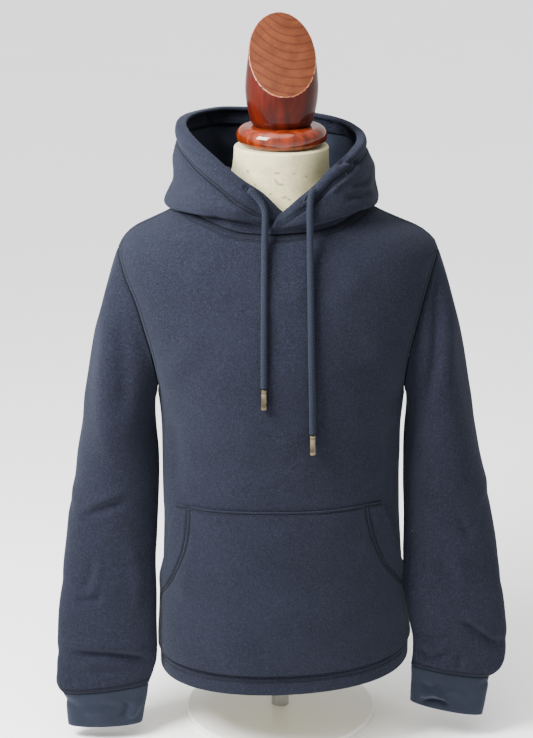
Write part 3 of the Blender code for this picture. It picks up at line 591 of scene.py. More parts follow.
def level_at(knots, distance):
    """The v of curve_through that lies this far along the knots' chords."""
    spans = knot_spans(knots)
    reached = running_total(spans)
    distance = np.minimum(distance, reached[..., -1])
    i = np.clip(np.sum(reached[..., 1:-1] < distance[..., None], axis=-1), 0, spans.shape[-1] - 1)
    return i + (distance - at_index(reached, i)) / at_index(spans, i)


def moved(knots, v, distance):
    """The v that lies this far along the chords past another v."""
    spans = knot_spans(knots)
    i = np.clip(np.floor(v).astype(int), 0, spans.shape[-1] - 1)
    start = at_index(running_total(spans), i)
    return level_at(knots, start + (v - i) * at_index(spans, i) + distance)


def body_angle(azimuth, height):
    section = TORSO.at(height)
    cosine, sine = np.cos(np.radians(azimuth)), np.sin(np.radians(azimuth))
    across, ahead = section.middle_x - HOOD_CENTRE[0], HOOD_CENTRE[1] - section.middle_y
    depth = np.where(sine > 0, section.front + section.middle_y,
                     section.back - section.middle_y)
    a = (cosine / section.half_width) ** 2 + (sine / depth) ** 2
    b = -2 * (cosine * across / section.half_width ** 2 + sine * ahead / depth ** 2)
    c = (across / section.half_width) ** 2 + (ahead / depth) ** 2 - 1
    reach = (-b + np.sqrt(b * b - 4 * a * c)) / (2 * a)
    return np.degrees(np.arctan2((reach * sine - ahead) / depth,
                                 (reach * cosine - across) / section.half_width)) % 360


def hood_section(side, turn):
    """Eight knots from the rim to the neck seam, at each turn.

    Past the centre front a half stands out as far as the other one, which it laps.
    """
    own, other = (HOOD_RIGHT, HOOD_LEFT) if side > 0 else (HOOD_LEFT, HOOD_RIGHT)
    row, past = own.at(turn), other.at(-turn)
    out = {name: np.where(turn < 0, getattr(past, name), getattr(row, name))
           for name in ("rim_out", "brow_out", "side_out", "belly_out")}
    lap = LAP_OVER if side > 0 else LAP_UNDER
    over = lap * (1 - smooth_step((turn - 14) / 22))
    azimuth = 90 - side * turn
    away = vec(np.cos(np.radians(azimuth)), -np.sin(np.radians(azimuth)), np.zeros_like(azimuth))
    seam = np.full_like(azimuth, 704.0)
    for _ in range(4):
        seam = NECKLINE.at(body_angle(azimuth, seam)).height
    seam = seam + NECK_RISE

    def free(name):
        distance = out[name + "_out"] + over
        return HOOD_CENTRE + away * distance[..., None] + vec(0, 0, getattr(row, name + "_height"))

    def under(way, lift):
        height = mix(row.fold_height, seam, way)
        return on_body(body_angle(azimuth, height), height, lift + over * (1 - way / 2))

    return np.stack((
        free("rim"), free("brow"), free("side"), free("belly"),
        under(0.0, row.fold_lift), under(0.35, row.tuck_lift),
        under(0.7, row.tuck_lift * 0.6), under(1.0, np.full_like(azimuth, NECK_MARGIN)),
    ), axis=-2)


def hood_point(side, turn, v):
    return curve_through(hood_section(side, turn), v)


def hood_normal(side, turn, v):
    section = hood_section(side, turn)
    along_turn = hood_point(side, turn + 1.5, v) - hood_point(side, turn - 1.5, v)
    along_v = (curve_through(section, moved(section, v, 2.6))
               - curve_through(section, moved(section, v, -2.6)))
    return unit(np.cross(along_turn, along_v)) * -side


def hood_turns(side, rim, v):
    """Turns at level v of the columns that start at these turns on the rim."""
    past = HOOD_PAST_RIGHT if side > 0 else HOOD_PAST_LEFT
    seam = mix(-past, HOOD_LAST, rim / HOOD_LAST)
    return mix(rim, seam, 1 - (1 - v / 7) ** LAP_ROUND)


def channel_width(side, turn):
    return mix(CHANNEL_RIGHT if side > 0 else CHANNEL_LEFT, CHANNEL_BACK,
               smooth_step((turn - 60) / 60))


def channel_level(side, turn, distance=None):
    """The v of the channel's lower edge, or of another distance from the rim."""
    distance = channel_width(side, turn) if distance is None else distance
    return np.minimum(level_at(hood_section(side, turn), distance), 2.7)


HOOD_LAST = 180 - math.degrees(0.75 * GAP / 125)


# -------------------- meshes

def grid_faces(rows, columns, ring, start, flip):
    i = np.arange(rows - 1)[:, None]
    j = np.arange(columns if ring else columns - 1)[None, :]
    k = (j + 1) % columns
    corners = [i * columns + j, i * columns + k, (i + 1) * columns + k, (i + 1) * columns + j]
    faces = np.stack([np.broadcast_to(c, (rows - 1, j.shape[1])) for c in corners], axis=-1)
    faces = faces.reshape(-1, 4) + start
    return faces[:, ::-1] if flip else faces


def cloth_lengths(grid, ring):
    """Distances across and down the cloth at each point of a grid, in millimetres."""
    across = running_total(np.linalg.norm(np.diff(grid, axis=1), axis=-1))
    across = across - (0 if ring else across[:, -1:] / 2)
    down = running_total(np.linalg.norm(np.diff(grid, axis=0), axis=-1).T).T
    return across, down


def add_piece(name, points, faces, materials, sharp=None):
    mesh = bpy.data.meshes.new(name)
    mesh.from_pydata(points * MM, [], faces.tolist() if isinstance(faces, np.ndarray) else faces)
    for material in materials:
        mesh.materials.append(finish(material))
    mesh.shade_smooth()
    if sharp:
        mesh.set_sharp_from_angle(angle=math.radians(sharp))
    return placed(bpy.data.objects.new(name, mesh))


def placed(piece):
    bpy.context.scene.collection.objects.link(piece)
    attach(piece, "root")
    return piece


def cloth_wall(name, outer, inner, materials, ring=False):
    """Closed cloth wall between two grids of points, with cloth distances as its UV map.

    The first material is outside, the second inside.
    """
    rows, columns = outer.shape[:2]
    size = rows * columns
    points = np.concatenate([outer.reshape(-1, 3), inner.reshape(-1, 3)])
    i, j = rows // 2, columns // 3
    across = outer[i, j + 1] - outer[i, j]
    down = outer[i + 1, j] - outer[i, j]
    flip = bool(np.dot(np.cross(across, down), outer[i, j] - inner[i, j]) < 0)
    outside = grid_faces(rows, columns, ring, 0, flip)
    inside = grid_faces(rows, columns, ring, size, not flip)
    edges = []
    for row, turned in ((0, flip), (rows - 1, not flip)):
        j = np.arange(columns if ring else columns - 1)
        a, b = row * columns + j, row * columns + (j + 1) % columns
        rim = np.stack([a, a + size, b + size, b], axis=-1)
        edges.append(rim[:, ::-1] if turned else rim)
    if not ring:
        for column, turned in ((0, not flip), (columns - 1, flip)):
            i = np.arange(rows - 1)
            a, b = i * columns + column, (i + 1) * columns + column
            rim = np.stack([a, a + size, b + size, b], axis=-1)
            edges.append(rim[:, ::-1] if turned else rim)
    faces = np.concatenate([outside, inside, *edges])
    piece = add_piece(name, points, faces, materials)
    if len(materials) > 1:
        index = np.zeros(len(faces), dtype=np.int32)
        index[len(outside):len(outside) + len(inside)] = 1
        piece.data.polygons.foreach_set("material_index", index)
    across, down = cloth_lengths(outer, ring)
    uv = np.stack([across, down], axis=-1).reshape(-1, 2) * MM
    uv = np.concatenate([uv, uv])
    corner = np.zeros(len(piece.data.loops), dtype=np.int32)
    piece.data.loops.foreach_get("vertex_index", corner)
    layer = piece.data.uv_layers.new(name="cloth")
    layer.data.foreach_set("uv", uv[corner].ravel())
    return piece


def turned(name, profile, materials, slot, steps=128, centre=(0.0, 0.0), sharp=35):
    """Turned solid; the profile lists (radius, height) down its outer side, end on the axis."""
    turns = np.radians(np.arange(0, 360, 360 / steps))
    inner = [row for row in profile if row[0] > 0]
    rings = [vec(centre[0] + r * np.cos(turns), centre[1] + r * np.sin(turns), h) for r, h in inner]
    points = np.concatenate([*rings, [(*centre, profile[0][1])], [(*centre, profile[-1][1])]])
    faces = grid_faces(len(rings), steps, True, 0, True).tolist()
    top, bottom, last = len(points) - 2, len(points) - 1, (len(rings) - 1) * steps
    for j in range(steps):
        k = (j + 1) % steps
        faces.append((top, j, k))
        faces.append((bottom, last + k, last + j))
    return add_piece(name, points, faces, materials, sharp=sharp)


def mark_points(piece, name, values):
    """Keep a number on each of a piece's first points, 0 on the rest, for its material."""
    marks = np.zeros(len(piece.data.vertices), np.float32)
    marks[:values.size] = values.ravel()
    piece.data.attributes.new(name, "FLOAT", "POINT").data.foreach_set("value", marks)


# Views that a crease is drawn in: its first coordinate, and the side it shows on
VIEWS = {"front": (0, (0, -1, 0)), "back": (0, (0, 1, 0)),
         "left": (1, (-1, 0, 0)), "right": (1, (1, 0, 0))}


def crease_lift(points, normals, creases):
    """Height of soft ridges (positive) and troughs (negative) over a surface.

    A crease is (view, width, height, (across, height) of its path...).
    """
    lift = np.zeros(points.shape[:-1])
    for view, width, height, *path in creases:
        axis, facing = VIEWS[view]
        knots = np.array(path, float)
        count = 4 * (len(knots) - 1) + 1
        line = curve_through(np.broadcast_to(knots, (count, *knots.shape)),
                             np.linspace(0, len(knots) - 1, count))
        low, high = line.min(axis=0) - 2.5 * width, line.max(axis=0) + 2.5 * width
        seen = points[..., (axis, 2)]
        near = np.all((seen > low) & (seen < high), axis=-1)
        near &= dot(normals, np.array(facing, float)) > 0
        if not near.any():
            continue
        shown = smooth_step(dot(normals[near], np.array(facing, float)) / 0.35)
        spot = seen[near]
        run = line[-1] - line[0]
        t = (spot - line[0]) @ run / (run @ run)
        ends = smooth_step(t / 0.3 + 0.15) * smooth_step((1 - t) / 0.3 + 0.15)
        lift[near] += height * bump_at(distance_to(line, spot), 0, width) * ends * shown
    return lift * sizes().creases


def unevenness(points, seed, size, height):
    """Gentle uneven swell, so that cloth isn't perfectly smooth."""
    random = np.random.default_rng(seed)
    lift = np.zeros(points.shape[:-1])
    for _ in range(9):
        direction = unit(random.normal(size=3))
        wave = size * random.uniform(0.6, 1.8)
        lift += np.sin(points @ direction * 2 * math.pi / wave + random.uniform(0, 6.28)) / 3
    return lift * height


# -------------------- sewing

def capsules(name, starts, ends, normals, material="polyester_thread", thick=None):
    """One mesh of round-ended thread pieces, from starts to ends."""
    radius = (sizes().thread / MM if thick is None else thick) / 2
    along = unit(ends - starts)
    up = unit(normals - along * dot(normals, along)[:, None])
    across = np.cross(along, up)
    turns = np.radians(np.arange(0, 360, 72))
    ring = (up[:, None, :] * np.cos(turns)[:, None] + across[:, None, :] * np.sin(turns)[:, None])
    reach = np.linalg.norm(ends - starts, axis=-1)
    rings = []
    for place, size in ((0.0, 0.5), (0.5, 1.15), (1.0, 0.5)):
        sag = radius * 0.7 * (1 - abs(2 * place - 1) ** 2)
        middle = starts + along * (reach * place)[:, None] + up * (sag - 0.35 * radius)
        rings.append(middle[:, None, :] + ring * radius * size)
    points = np.stack(rings, axis=1).reshape(-1, 3)
    one = grid_faces(3, 5, True, 0, False).tolist() + [[4, 3, 2, 1, 0], [10, 11, 12, 13, 14]]
    faces = [[k + 15 * n for k in face] for n in range(len(starts)) for face in one]
    return add_piece(name, points, faces, [material])


def snapped(piece, places):
    """Nearest points of a piece's surface to places, with the normals there."""
    mesh = piece.data
    points = np.zeros(len(mesh.vertices) * 3)
    mesh.vertices.foreach_get("co", points)
    tree = BVHTree.FromPolygons(points.reshape(-1, 3).tolist(),
                                [tuple(face.vertices) for face in mesh.polygons])
    found = [tree.find_nearest(Vector(place) * MM) for place in places]
    return (np.array([hit[0] for hit in found]) / MM, np.array([hit[1] for hit in found]))


def sew(name, piece, paths):
    """Rows of stitches along paths that lie just outside a piece's surface."""
    pitch = (sizes().stitch + sizes().stitch_space) / MM
    starts, ends = [], []
    for path in paths:
        reached = lengths_along(path)
        count = max(int(reached[-1] / pitch), 1)
        at = (np.arange(count) + 0.5 * (reached[-1] / pitch - count)) * pitch
        for spots, shift in ((starts, 0.0), (ends, sizes().stitch / MM)):
            spots.append(np.stack([np.interp(at + shift, reached, path[:, k]) for k in range(3)],
                                  axis=-1))
    starts, ends = np.concatenate(starts), np.concatenate(ends)
    places, normals = snapped(piece, np.concatenate([starts, ends]))
    half = len(starts)
    return capsules(name, places[:half], places[half:], normals[:half] + normals[half:])


def twin(row_path, offset):
    """Both rows of twin stitching: row_path(distance from the edge) for each needle."""
    return [row_path(offset), row_path(offset + sizes().needle_space / MM)]


# -------------------- materials

COLOURS = {"output": 2, "data_type": "RGBA"}


def feed(tree, made, **given):
    """Give a node's inputs values, or sockets to link, by name with _ for a space, or number."""
    for name, value in given.items():
        socket = made.inputs[int(name[1:]) if name[0] == "_" else name.replace("_", " ")]
        if isinstance(value, bpy.types.NodeSocket):
            tree.links.new(value, socket)
        else:
            socket.default_value = value


def node(tree, kind, output=0, **given):
    """Add a node with its settings, named in lower case, and inputs, and give an output of it."""
    made = tree.nodes.new("ShaderNode" + kind)
    for name in [name for name in given if name.islower()]:
        setattr(made, name, given.pop(name))
    feed(tree, made, **given)
    return made.outputs[output]


def new_material(name, **values):
    """Tree and shader of a new material, with these values on the shader's own sockets."""
    material = bpy.data.materials.new(name)
    material.use_nodes = True
    tree = material.node_tree
    feed(tree, tree.nodes["Principled BSDF"], **values)
    return tree, tree.nodes["Principled BSDF"]


def darker(tone, amount):
    return (*(channel * amount for channel in tone[:3]), 1.0)


def between(low, high):
    """What a map range that rises softly between two values is given."""
    return {"interpolation_type": "SMOOTHSTEP", "From_Min": low, "From_Max": high}


def shades(tone, first, second):
    """What a mix between two shades of a tone is given."""
    return {"_6": darker(tone, first), "_7": darker(tone, second), **COLOURS}


def brushed_cotton_fleece():
    # Cotton fleece brushed outside: a matt nap in small tufts, lighter where they catch the
    # light, cloudy from wear, with a few white specks of lint. Along stitching and seams the
    # nap lies flat and is darkened with painted shade, the shade of their troughs
    tree, shader = new_material("brushed_cotton_fleece", Roughness=0.95, Sheen_Weight=0.05,
                                Sheen_Roughness=0.55, Sheen_Tint=(0.55, 0.63, 0.85, 1.0),
                                Specular_IOR_Level=0.08)
    place = node(tree, "TexCoord", "Object")
    nap = sizes().nap
    tufts = node(tree, "TexNoise", Vector=place, Scale=1 / nap, Detail=4.0, Roughness=0.65)
    heather = node(tree, "TexNoise", Vector=place, Scale=1 / (2.6 * nap), Detail=3.0,
                   Roughness=0.6)
    cloud = node(tree, "TexNoise", Vector=place, Scale=1 / 0.055)
    worn = node(tree, "MapRange", Value=cloud, **between(0.3, 0.7))
    base = node(tree, "Mix", _0=worn, **shades(colour("fleece"), 0.86, 1.12))
    raised = node(tree, "MapRange", Value=tufts, **between(0.34, 0.7), To_Max=0.5)
    dense = node(tree, "MapRange", Value=heather, **between(0.3, 0.7), To_Min=0.75, To_Max=1.35)
    light = node(tree, "Math", operation="MULTIPLY", _0=raised, _1=dense)
    napped = node(tree, "Mix", _0=light, _6=base, _7=colour("fleece_tuft"), **COLOURS)
    # painted shade: stitching troughs and seams darkened, where the nap also lies flat
    hollow_shade = node(tree, "Attribute", "Fac", attribute_name="hollow_shade")
    napped = node(tree, "Mix", _0=hollow_shade, _6=napped, _7=darker(colour("fleece"), 0.4),
                  **COLOURS)
    away = node(tree, "TexVoronoi", "Distance", feature="F1", Vector=place, Scale=1 / 0.026)
    speck = node(tree, "MapRange", Value=away, **between(0.012, 0.026), To_Min=0.55, To_Max=0.0)
    patch = node(tree, "TexNoise", Vector=place, Scale=1 / 0.07)
    rare = node(tree, "MapRange", Value=patch, **between(0.56, 0.6))
    lint = node(tree, "Math", operation="MULTIPLY", _0=speck, _1=rare)
    relief = node(tree, "Math", operation="MULTIPLY_ADD", _0=heather, _1=0.8, _2=tufts)
    feed(tree, shader,
         Base_Color=node(tree, "Mix", _0=lint, _6=napped, _7=(0.42, 0.43, 0.46, 1.0), **COLOURS),
         Normal=node(tree, "Bump", Strength=0.9, Distance=0.8 * MM, Height=relief))


def looped_fleece_back():
    # Unbrushed inner face of the same cloth: loops in rows, a little darker and flatter
    tree, shader = new_material("looped_fleece_back", Roughness=0.95, Sheen_Weight=0.12,
                                Sheen_Roughness=0.6, Specular_IOR_Level=0.12)
    place = node(tree, "TexCoord", "Object")
    rows = node(tree, "VectorMath", operation="MULTIPLY", _0=place, _1=(1.0, 1.0, 2.2))
    loops = node(tree, "TexNoise", Vector=rows, Scale=1 / (1.4 * MM), Detail=3.0)
    raised = node(tree, "MapRange", Value=loops, **between(0.35, 0.7))
    feed(tree, shader,
         Base_Color=node(tree, "Mix", _0=raised, _6=darker(colour("lining"), 0.8),
                         _7=colour("fleece"), **COLOURS),
         Normal=node(tree, "Bump", Strength=0.8, Distance=0.5 * MM, Height=loops))


def knitted(name, tone, light, rib, soft):
    """Knit whose ribs run down the cloth; its UV map is in metres."""
    tree, shader = new_material(name, Roughness=0.93, Sheen_Weight=soft, Sheen_Roughness=0.55,
                                Sheen_Tint=(0.55, 0.63, 0.85, 1.0), Specular_IOR_Level=0.12)
    uv = node(tree, "UVMap", uv_map="cloth")
    # a wave's period is 2 pi / 20 / scale
    ribs = node(tree, "TexWave", "Fac", wave_type="BANDS", bands_direction="X", Vector=uv,
                Scale=math.pi / 10 / rib, Distortion=0.3, Detail=1.0)
    along = node(tree, "VectorMath", operation="MULTIPLY", _0=uv, _1=(1.0, 0.6, 1.0))
    yarn = node(tree, "TexNoise", Vector=along, Scale=1 / (1.1 * MM), Detail=3.0, Roughness=0.6)
    cloud = node(tree, "TexNoise", Vector=node(tree, "TexCoord", "Object"), Scale=1 / 0.04)
    worn = node(tree, "MapRange", Value=cloud, **between(0.3, 0.7))
    base = node(tree, "Mix", _0=worn, **shades(tone, 0.85, 1.12))
    raised = node(tree, "MapRange", Value=yarn, **between(0.48, 0.85))
    knit = node(tree, "Mix", _0=raised, _6=base, _7=light, **COLOURS)
    # painted shade: the knit darkened at its seams, where it also lies flat
    hollow_shade = node(tree, "Attribute", "Fac", attribute_name="hollow_shade")
    relief = node(tree, "Math", operation="MULTIPLY_ADD", _0=ribs, _1=0.35, _2=yarn)
    feed(tree, shader,
         Base_Color=node(tree, "Mix", _0=hollow_shade, _6=knit, _7=darker(tone, 0.25), **COLOURS),
         Normal=node(tree, "Bump", Strength=0.7, Distance=0.45 * MM, Height=relief))


def rib_knit():
    # Tight cotton rib: almost smooth when stretched, with faint upright lines
    knitted("rib_knit", colour("rib"), colour("fleece_tuft"), 2.4 * MM, 0.2)


def ribbed_jersey():
    # Thin single jersey: finer and flatter than the fleece, its rows stand in the mesh itself
    knitted("ribbed_jersey", colour("lining"), colour("fleece_tuft"), 1.6 * MM, 0.15)


def braided_cotton():
    # Braid of dyed cotton: fibres shine a little; the hollows between strands get painted shade
    tree, shader = new_material("braided_cotton", Roughness=0.85, Sheen_Weight=0.05,
                                Sheen_Roughness=0.5, Sheen_Tint=(0.55, 0.63, 0.85, 1.0),
                                Specular_IOR_Level=0.15)
    place = node(tree, "TexCoord", "Object")
    yarns = node(tree, "TexNoise", Vector=place, Scale=1 / (1.0 * MM), Detail=3.0, Roughness=0.7)
    salt = node(tree, "MapRange", Value=yarns, **between(0.4, 0.62))
    tone = node(tree, "Mix", _0=salt, **shades(colour("braid"), 0.62, 1.35))
    # painted shade in the hollows between the strands
    hollow = node(tree, "Attribute", "Fac", attribute_name="hollow_shade")
    feed(tree, shader,
         Base_Color=node(tree, "Mix", _0=hollow, _6=tone, _7=darker(colour("braid"), 0.1),
                         **COLOURS),
         Normal=node(tree, "Bump", Strength=0.8, Distance=0.3 * MM, Height=yarns))


def polyester_thread():
    # Spun sewing thread: a shade lighter than the cloth, with a dull lustre
    tree, shader = new_material("polyester_thread", Roughness=0.6, Sheen_Weight=0.04,
                                Specular_IOR_Level=0.15)
    place = node(tree, "TexCoord", "Object")
    twist = node(tree, "TexNoise", Vector=place, Scale=1 / (0.8 * MM))
    light = node(tree, "MapRange", Value=twist, **between(0.3, 0.7))
    feed(tree, shader,
         Base_Color=node(tree, "Mix", _0=light, **shades(colour("thread"), 0.75, 1.2)),
         Normal=node(tree, "Bump", Strength=0.6, Distance=0.12 * MM, Height=twist))


def brushed_nickel():
    # Nickel-plated brass, brushed along: soft bright streaks down it, warm grey
    tree, shader = new_material("brushed_nickel", Metallic=1.0)
    place = node(tree, "TexCoord", "Object")
    along = node(tree, "VectorMath", operation="MULTIPLY", _0=place, _1=(1.0, 1.0, 0.1))
    lines = node(tree, "TexNoise", Vector=along, Scale=1 / (0.9 * MM), Detail=3.0, Roughness=0.7)
    stain = node(tree, "TexNoise", Vector=place, Scale=1 / (6 * MM))
    dull = node(tree, "MapRange", Value=stain, **between(0.35, 0.7))
    feed(tree, shader,
         Base_Color=node(tree, "Mix", _0=dull, **shades(colour("nickel"), 0.7, 1.0)),
         Roughness=node(tree, "MapRange", Value=lines, To_Min=0.16, To_Max=0.4),
         Normal=node(tree, "Bump", Strength=0.5, Distance=0.05 * MM, Height=lines))


def sized_canvas():
    # Plain-weave cotton drawn over the form and sized: cream, matt, faintly yellowed, with
    # short dark scuffs near its top edge. The 0.5 mm weave is drawn at 1.4 mm to show
    tree, shader = new_material("sized_canvas", Roughness=0.82, Sheen_Weight=0.1,
                                Specular_IOR_Level=0.3)
    place = node(tree, "TexCoord", "Object")
    upright = node(tree, "VectorMath", operation="MULTIPLY", _0=place, _1=(1.0, 1.0, 0.35))
    level = node(tree, "VectorMath", operation="MULTIPLY", _0=place, _1=(0.35, 0.35, 1.0))
    warp = node(tree, "TexNoise", Vector=upright, Scale=1 / (1.4 * MM))
    weft = node(tree, "TexNoise", Vector=level, Scale=1 / (1.4 * MM))
    weave = node(tree, "Math", operation="ADD", _0=warp, _1=weft)
    blots = node(tree, "TexNoise", Vector=place, Scale=1 / 0.024, Detail=3.0, Roughness=0.6)
    stain = node(tree, "MapRange", Value=blots, **between(0.32, 0.68))
    tone = node(tree, "Mix", _0=stain, **shades(colour("canvas"), 0.84, 1.06))
    raised = node(tree, "MapRange", Value=weave, **between(1.0, 1.35))
    tone = node(tree, "Mix", _0=raised, _6=tone, _7=darker(colour("canvas"), 1.14), **COLOURS)
    scuff = node(tree, "Attribute", "Fac", attribute_name="scuff")
    feed(tree, shader,
         Base_Color=node(tree, "Mix", _0=scuff, _6=tone, _7=(0.035, 0.03, 0.022, 1.0), **COLOURS),
         Normal=node(tree, "Bump", Strength=0.6, Distance=0.18 * MM, Height=weave))


def grain_of_beech(tree, place):
    """(year rings, fine fibres) of one turned block; its pith stands behind its axis.

    The year rings are 8 mm apart, and the fibres 1.6 mm across and 50 mm long.
    """
    from_pith = node(tree, "VectorMath", operation="ADD", _0=place, _1=(-0.012, -0.070, 0.0))
    rings = node(tree, "TexWave", "Fac", wave_type="RINGS", rings_direction="Z",
                 wave_profile="SAW", Vector=from_pith, Scale=math.pi / 10 / 0.008,
                 Distortion=1.3, Detail=2.0, Detail_Scale=0.7)
    along = node(tree, "VectorMath", operation="MULTIPLY", _0=place, _1=(1.0, 1.0, 0.03))
    fibres = node(tree, "TexNoise", Vector=along, Scale=1 / (1.6 * MM), Detail=3.0,
                  Roughness=0.65)
    return rings, fibres


def varnished_beech(name, tone_name, coat):
    """Upright streaks deep in a clear gloss coat."""
    tree, shader = new_material(name, Roughness=0.5, IOR=1.5, Coat_Weight=coat,
                                Coat_Roughness=0.06, Coat_IOR=1.45, Specular_IOR_Level=0.08)
    place = node(tree, "TexCoord", "Object")
    rings, fibres = grain_of_beech(tree, place)
    along = node(tree, "VectorMath", operation="MULTIPLY", _0=place, _1=(1.0, 1.0, 0.12))
    broad = node(tree, "TexNoise", Vector=along, Scale=1 / (11 * MM))
    streak = node(tree, "MapRange", Value=broad, **between(0.34, 0.66))
    tone = node(tree, "Mix", _0=streak, **shades(colour(tone_name), 0.6, 1.3))
    late = node(tree, "MapRange", Value=rings, **between(0.55, 1.0), To_Max=0.35)
    tone = node(tree, "Mix", _0=late, _6=tone, _7=colour("wood_dark"), **COLOURS)
    fine = node(tree, "MapRange", Value=fibres, **between(0.5, 0.74), To_Max=0.45)
    feed(tree, shader,
         Base_Color=node(tree, "Mix", _0=fine, _6=tone, _7=colour("wood_dark"), **COLOURS),
         Normal=node(tree, "Bump", Strength=0.3, Distance=0.04 * MM, Height=fibres))


def varnished_stained_beech():
    # Turned beech, stained deep red-brown and gloss varnished
    varnished_beech("varnished_stained_beech", "wood", 0.2)


def varnished_honey_beech():
    # The ring's beech took less stain, so its varnish shows more orange
    varnished_beech("varnished_honey_beech", "ring_wood", 0.9)


def raw_sawn_beech():
    # Face left by the saw, wiped with thin stain: matt, paler, with the year rings as thin arcs
    tree, shader = new_material("raw_sawn_beech", Roughness=0.7, Specular_IOR_Level=0.1)
    place = node(tree, "TexCoord", "Object")
    rings = grain_of_beech(tree, place)[0]
    patch = node(tree, "TexNoise", Vector=place, Scale=1 / (16 * MM), Detail=3.0)
    wiped = node(tree, "MapRange", Value=patch, **between(0.3, 0.7))
    tone = node(tree, "Mix", _0=wiped, **shades(colour("sawn"), 0.8, 1.15))
    late = node(tree, "MapRange", Value=rings, **between(0.62, 1.0), To_Max=0.55)
    tone = node(tree, "Mix", _0=late, _6=tone, _7=darker(colour("wood_dark"), 2.0), **COLOURS)
    across = node(tree, "VectorMath", operation="MULTIPLY", _0=place, _1=(1.0, 0.4, 1.0))
    pores = node(tree, "TexNoise", Vector=across, Scale=1 / (1.3 * MM))
    open_pores = node(tree, "MapRange", Value=pores, **between(0.52, 0.8), To_Max=0.5)
    feed(tree, shader,
         Base_Color=node(tree, "Mix", _0=open_pores, _6=tone, _7=colour("wood_dark"), **COLOURS),
         Normal=node(tree, "Bump", Strength=0.5, Distance=0.15 * MM, Height=pores))


def pale_beech_edge():
    # Corner between the turned side and the sawn face: paler than the face, in patches
    tree, shader = new_material("pale_beech_edge", Roughness=0.5)
    place = node(tree, "TexCoord", "Object")
    edge_noise = node(tree, "TexNoise", Vector=place, Scale=1 / (5 * MM), Detail=3.0, Roughness=0.7)
    pale_patches = node(tree, "MapRange", Value=edge_noise, **between(0.4, 0.6))
    feed(tree, shader,
         Base_Color=node(tree, "Mix", _0=pale_patches, **shades(colour("sawn"), 1.0, 4.5)),
         Normal=node(tree, "Bump", Strength=0.4, Distance=0.2 * MM, Height=edge_noise))


def stoved_enamel():
    # Sheet steel with baked white enamel: smooth, slightly rippled gloss, thinly dusted
    tree, shader = new_material("stoved_enamel", IOR=1.5, Coat_Weight=0.4, Coat_Roughness=0.12)
    place = node(tree, "TexCoord", "Object")
    ripple = node(tree, "TexNoise", Vector=place, Scale=1 / (7 * MM))
    dust = node(tree, "TexNoise", Vector=place, Scale=1 / (2.5 * MM), Detail=4.0, Roughness=0.7)
    settled = node(tree, "MapRange", Value=dust, **between(0.5, 0.9))
    feed(tree, shader,
         Base_Color=node(tree, "Mix", _0=settled, **shades(colour("enamel"), 1.0, 0.86)),
         Roughness=node(tree, "MapRange", Value=dust, To_Min=0.25, To_Max=0.5),
         Normal=node(tree, "Bump", Strength=0.4, Distance=0.05 * MM, Height=ripple))


def drawn_steel():
    # Bright drawn tube: long fine lines down it
    tree, shader = new_material("drawn_steel", Metallic=1.0)
    place = node(tree, "TexCoord", "Object")
    along = node(tree, "VectorMath", operation="MULTIPLY", _0=place, _1=(1.0, 1.0, 0.02))
    lines = node(tree, "TexNoise", Vector=along, Scale=1 / (0.9 * MM), Detail=3.0, Roughness=0.6)
    dull = node(tree, "MapRange", Value=lines, **between(0.3, 0.8))
    feed(tree, shader,
         Base_Color=node(tree, "Mix", _0=dull, **shades(colour("steel"), 1.0, 0.75)),
         Roughness=node(tree, "MapRange", Value=lines, To_Min=0.22, To_Max=0.42),
         Normal=node(tree, "Bump", Strength=0.4, Distance=0.04 * MM, Height=lines))


def pale_floor():
    # Matt painted floor, even enough to fade into the backdrop
    tree, shader = new_material("pale_floor", Roughness=0.95, Specular_IOR_Level=0.1)
    place = node(tree, "TexCoord", "Object")
    cloud = node(tree, "TexNoise", Vector=place, Scale=1 / 0.6)
    worn = node(tree, "MapRange", Value=cloud, **between(0.2, 0.8))
    feed(tree, shader,
         Base_Color=node(tree, "Mix", _0=worn, **shades(colour("floor"), 1.0, 0.985)))


FINISHES = {maker.__name__: maker for maker in (
    brushed_cotton_fleece, looped_fleece_back, rib_knit, ribbed_jersey, braided_cotton,
    polyester_thread, brushed_nickel, sized_canvas, varnished_stained_beech,
    varnished_honey_beech, raw_sawn_beech, pale_beech_edge, stoved_enamel, drawn_steel,
    pale_floor)}


def finish(name):
    """The material of this name, made when it is first needed."""
    if name not in bpy.data.materials:
        FINISHES[name]()
    return bpy.data.materials[name]


# -------------------- front and back panels

FLEECE = ["brushed_cotton_fleece", "looped_fleece_back"]
STITCH_START = 2.5               # from a seam to its first row of stitches
HEM_STITCHES = 20.0              # from the hem's edge to its first row of stitches
NECK_ROWS = 12.0                 # depth of the close rows below the neck seam


def below_neck(angle, distance):
    """Height on the body this far down the cloth from the neck seam, at each angle."""
    angle, distance = np.broadcast_arrays(np.asarray(angle, float), np.asarray(distance, float))
    drops = np.arange(0, 110, 1.0)
    heights = NECKLINE.at(angle).height[..., None] - drops
    places = body_surface(np.broadcast_to(angle[..., None], heights.shape), heights)
    steps = np.linalg.norm(np.diff(places, axis=-2), axis=-1)
    reached = running_total(steps)
    i = np.clip(np.sum(reached[..., 1:-1] < distance[..., None], axis=-1), 0, len(drops) - 2)
    return NECKLINE.at(angle).height - (i + (distance - at_index(reached, i)) / at_index(steps, i))


def neck_depth(angle, level):
    """Distance down the cloth from the neck seam to a level."""
    shares = np.linspace(0, 1, 60)
    heights = mix(NECKLINE.at(angle).height[..., None], level, shares)
    places = body_surface(np.broadcast_to(angle[..., None], heights.shape), heights)
    return np.sum(np.linalg.norm(np.diff(places, axis=-2), axis=-1), axis=-1)


def spread_row(angle, height, edge, columns):
    """Angles, heights and distances from the nearer end of a row's points."""
    reached = lengths_along(body_surface(angle, height))
    total = reached[-1]
    middle = mix(edge[-1], total - edge[-1], np.linspace(0, 1, columns)[1:-1])
    spots = np.concatenate([edge, middle, total - edge[::-1]])
    return (np.interp(spots, reached, angle), np.interp(spots, reached, height),
            np.minimum(spots, total - spots))


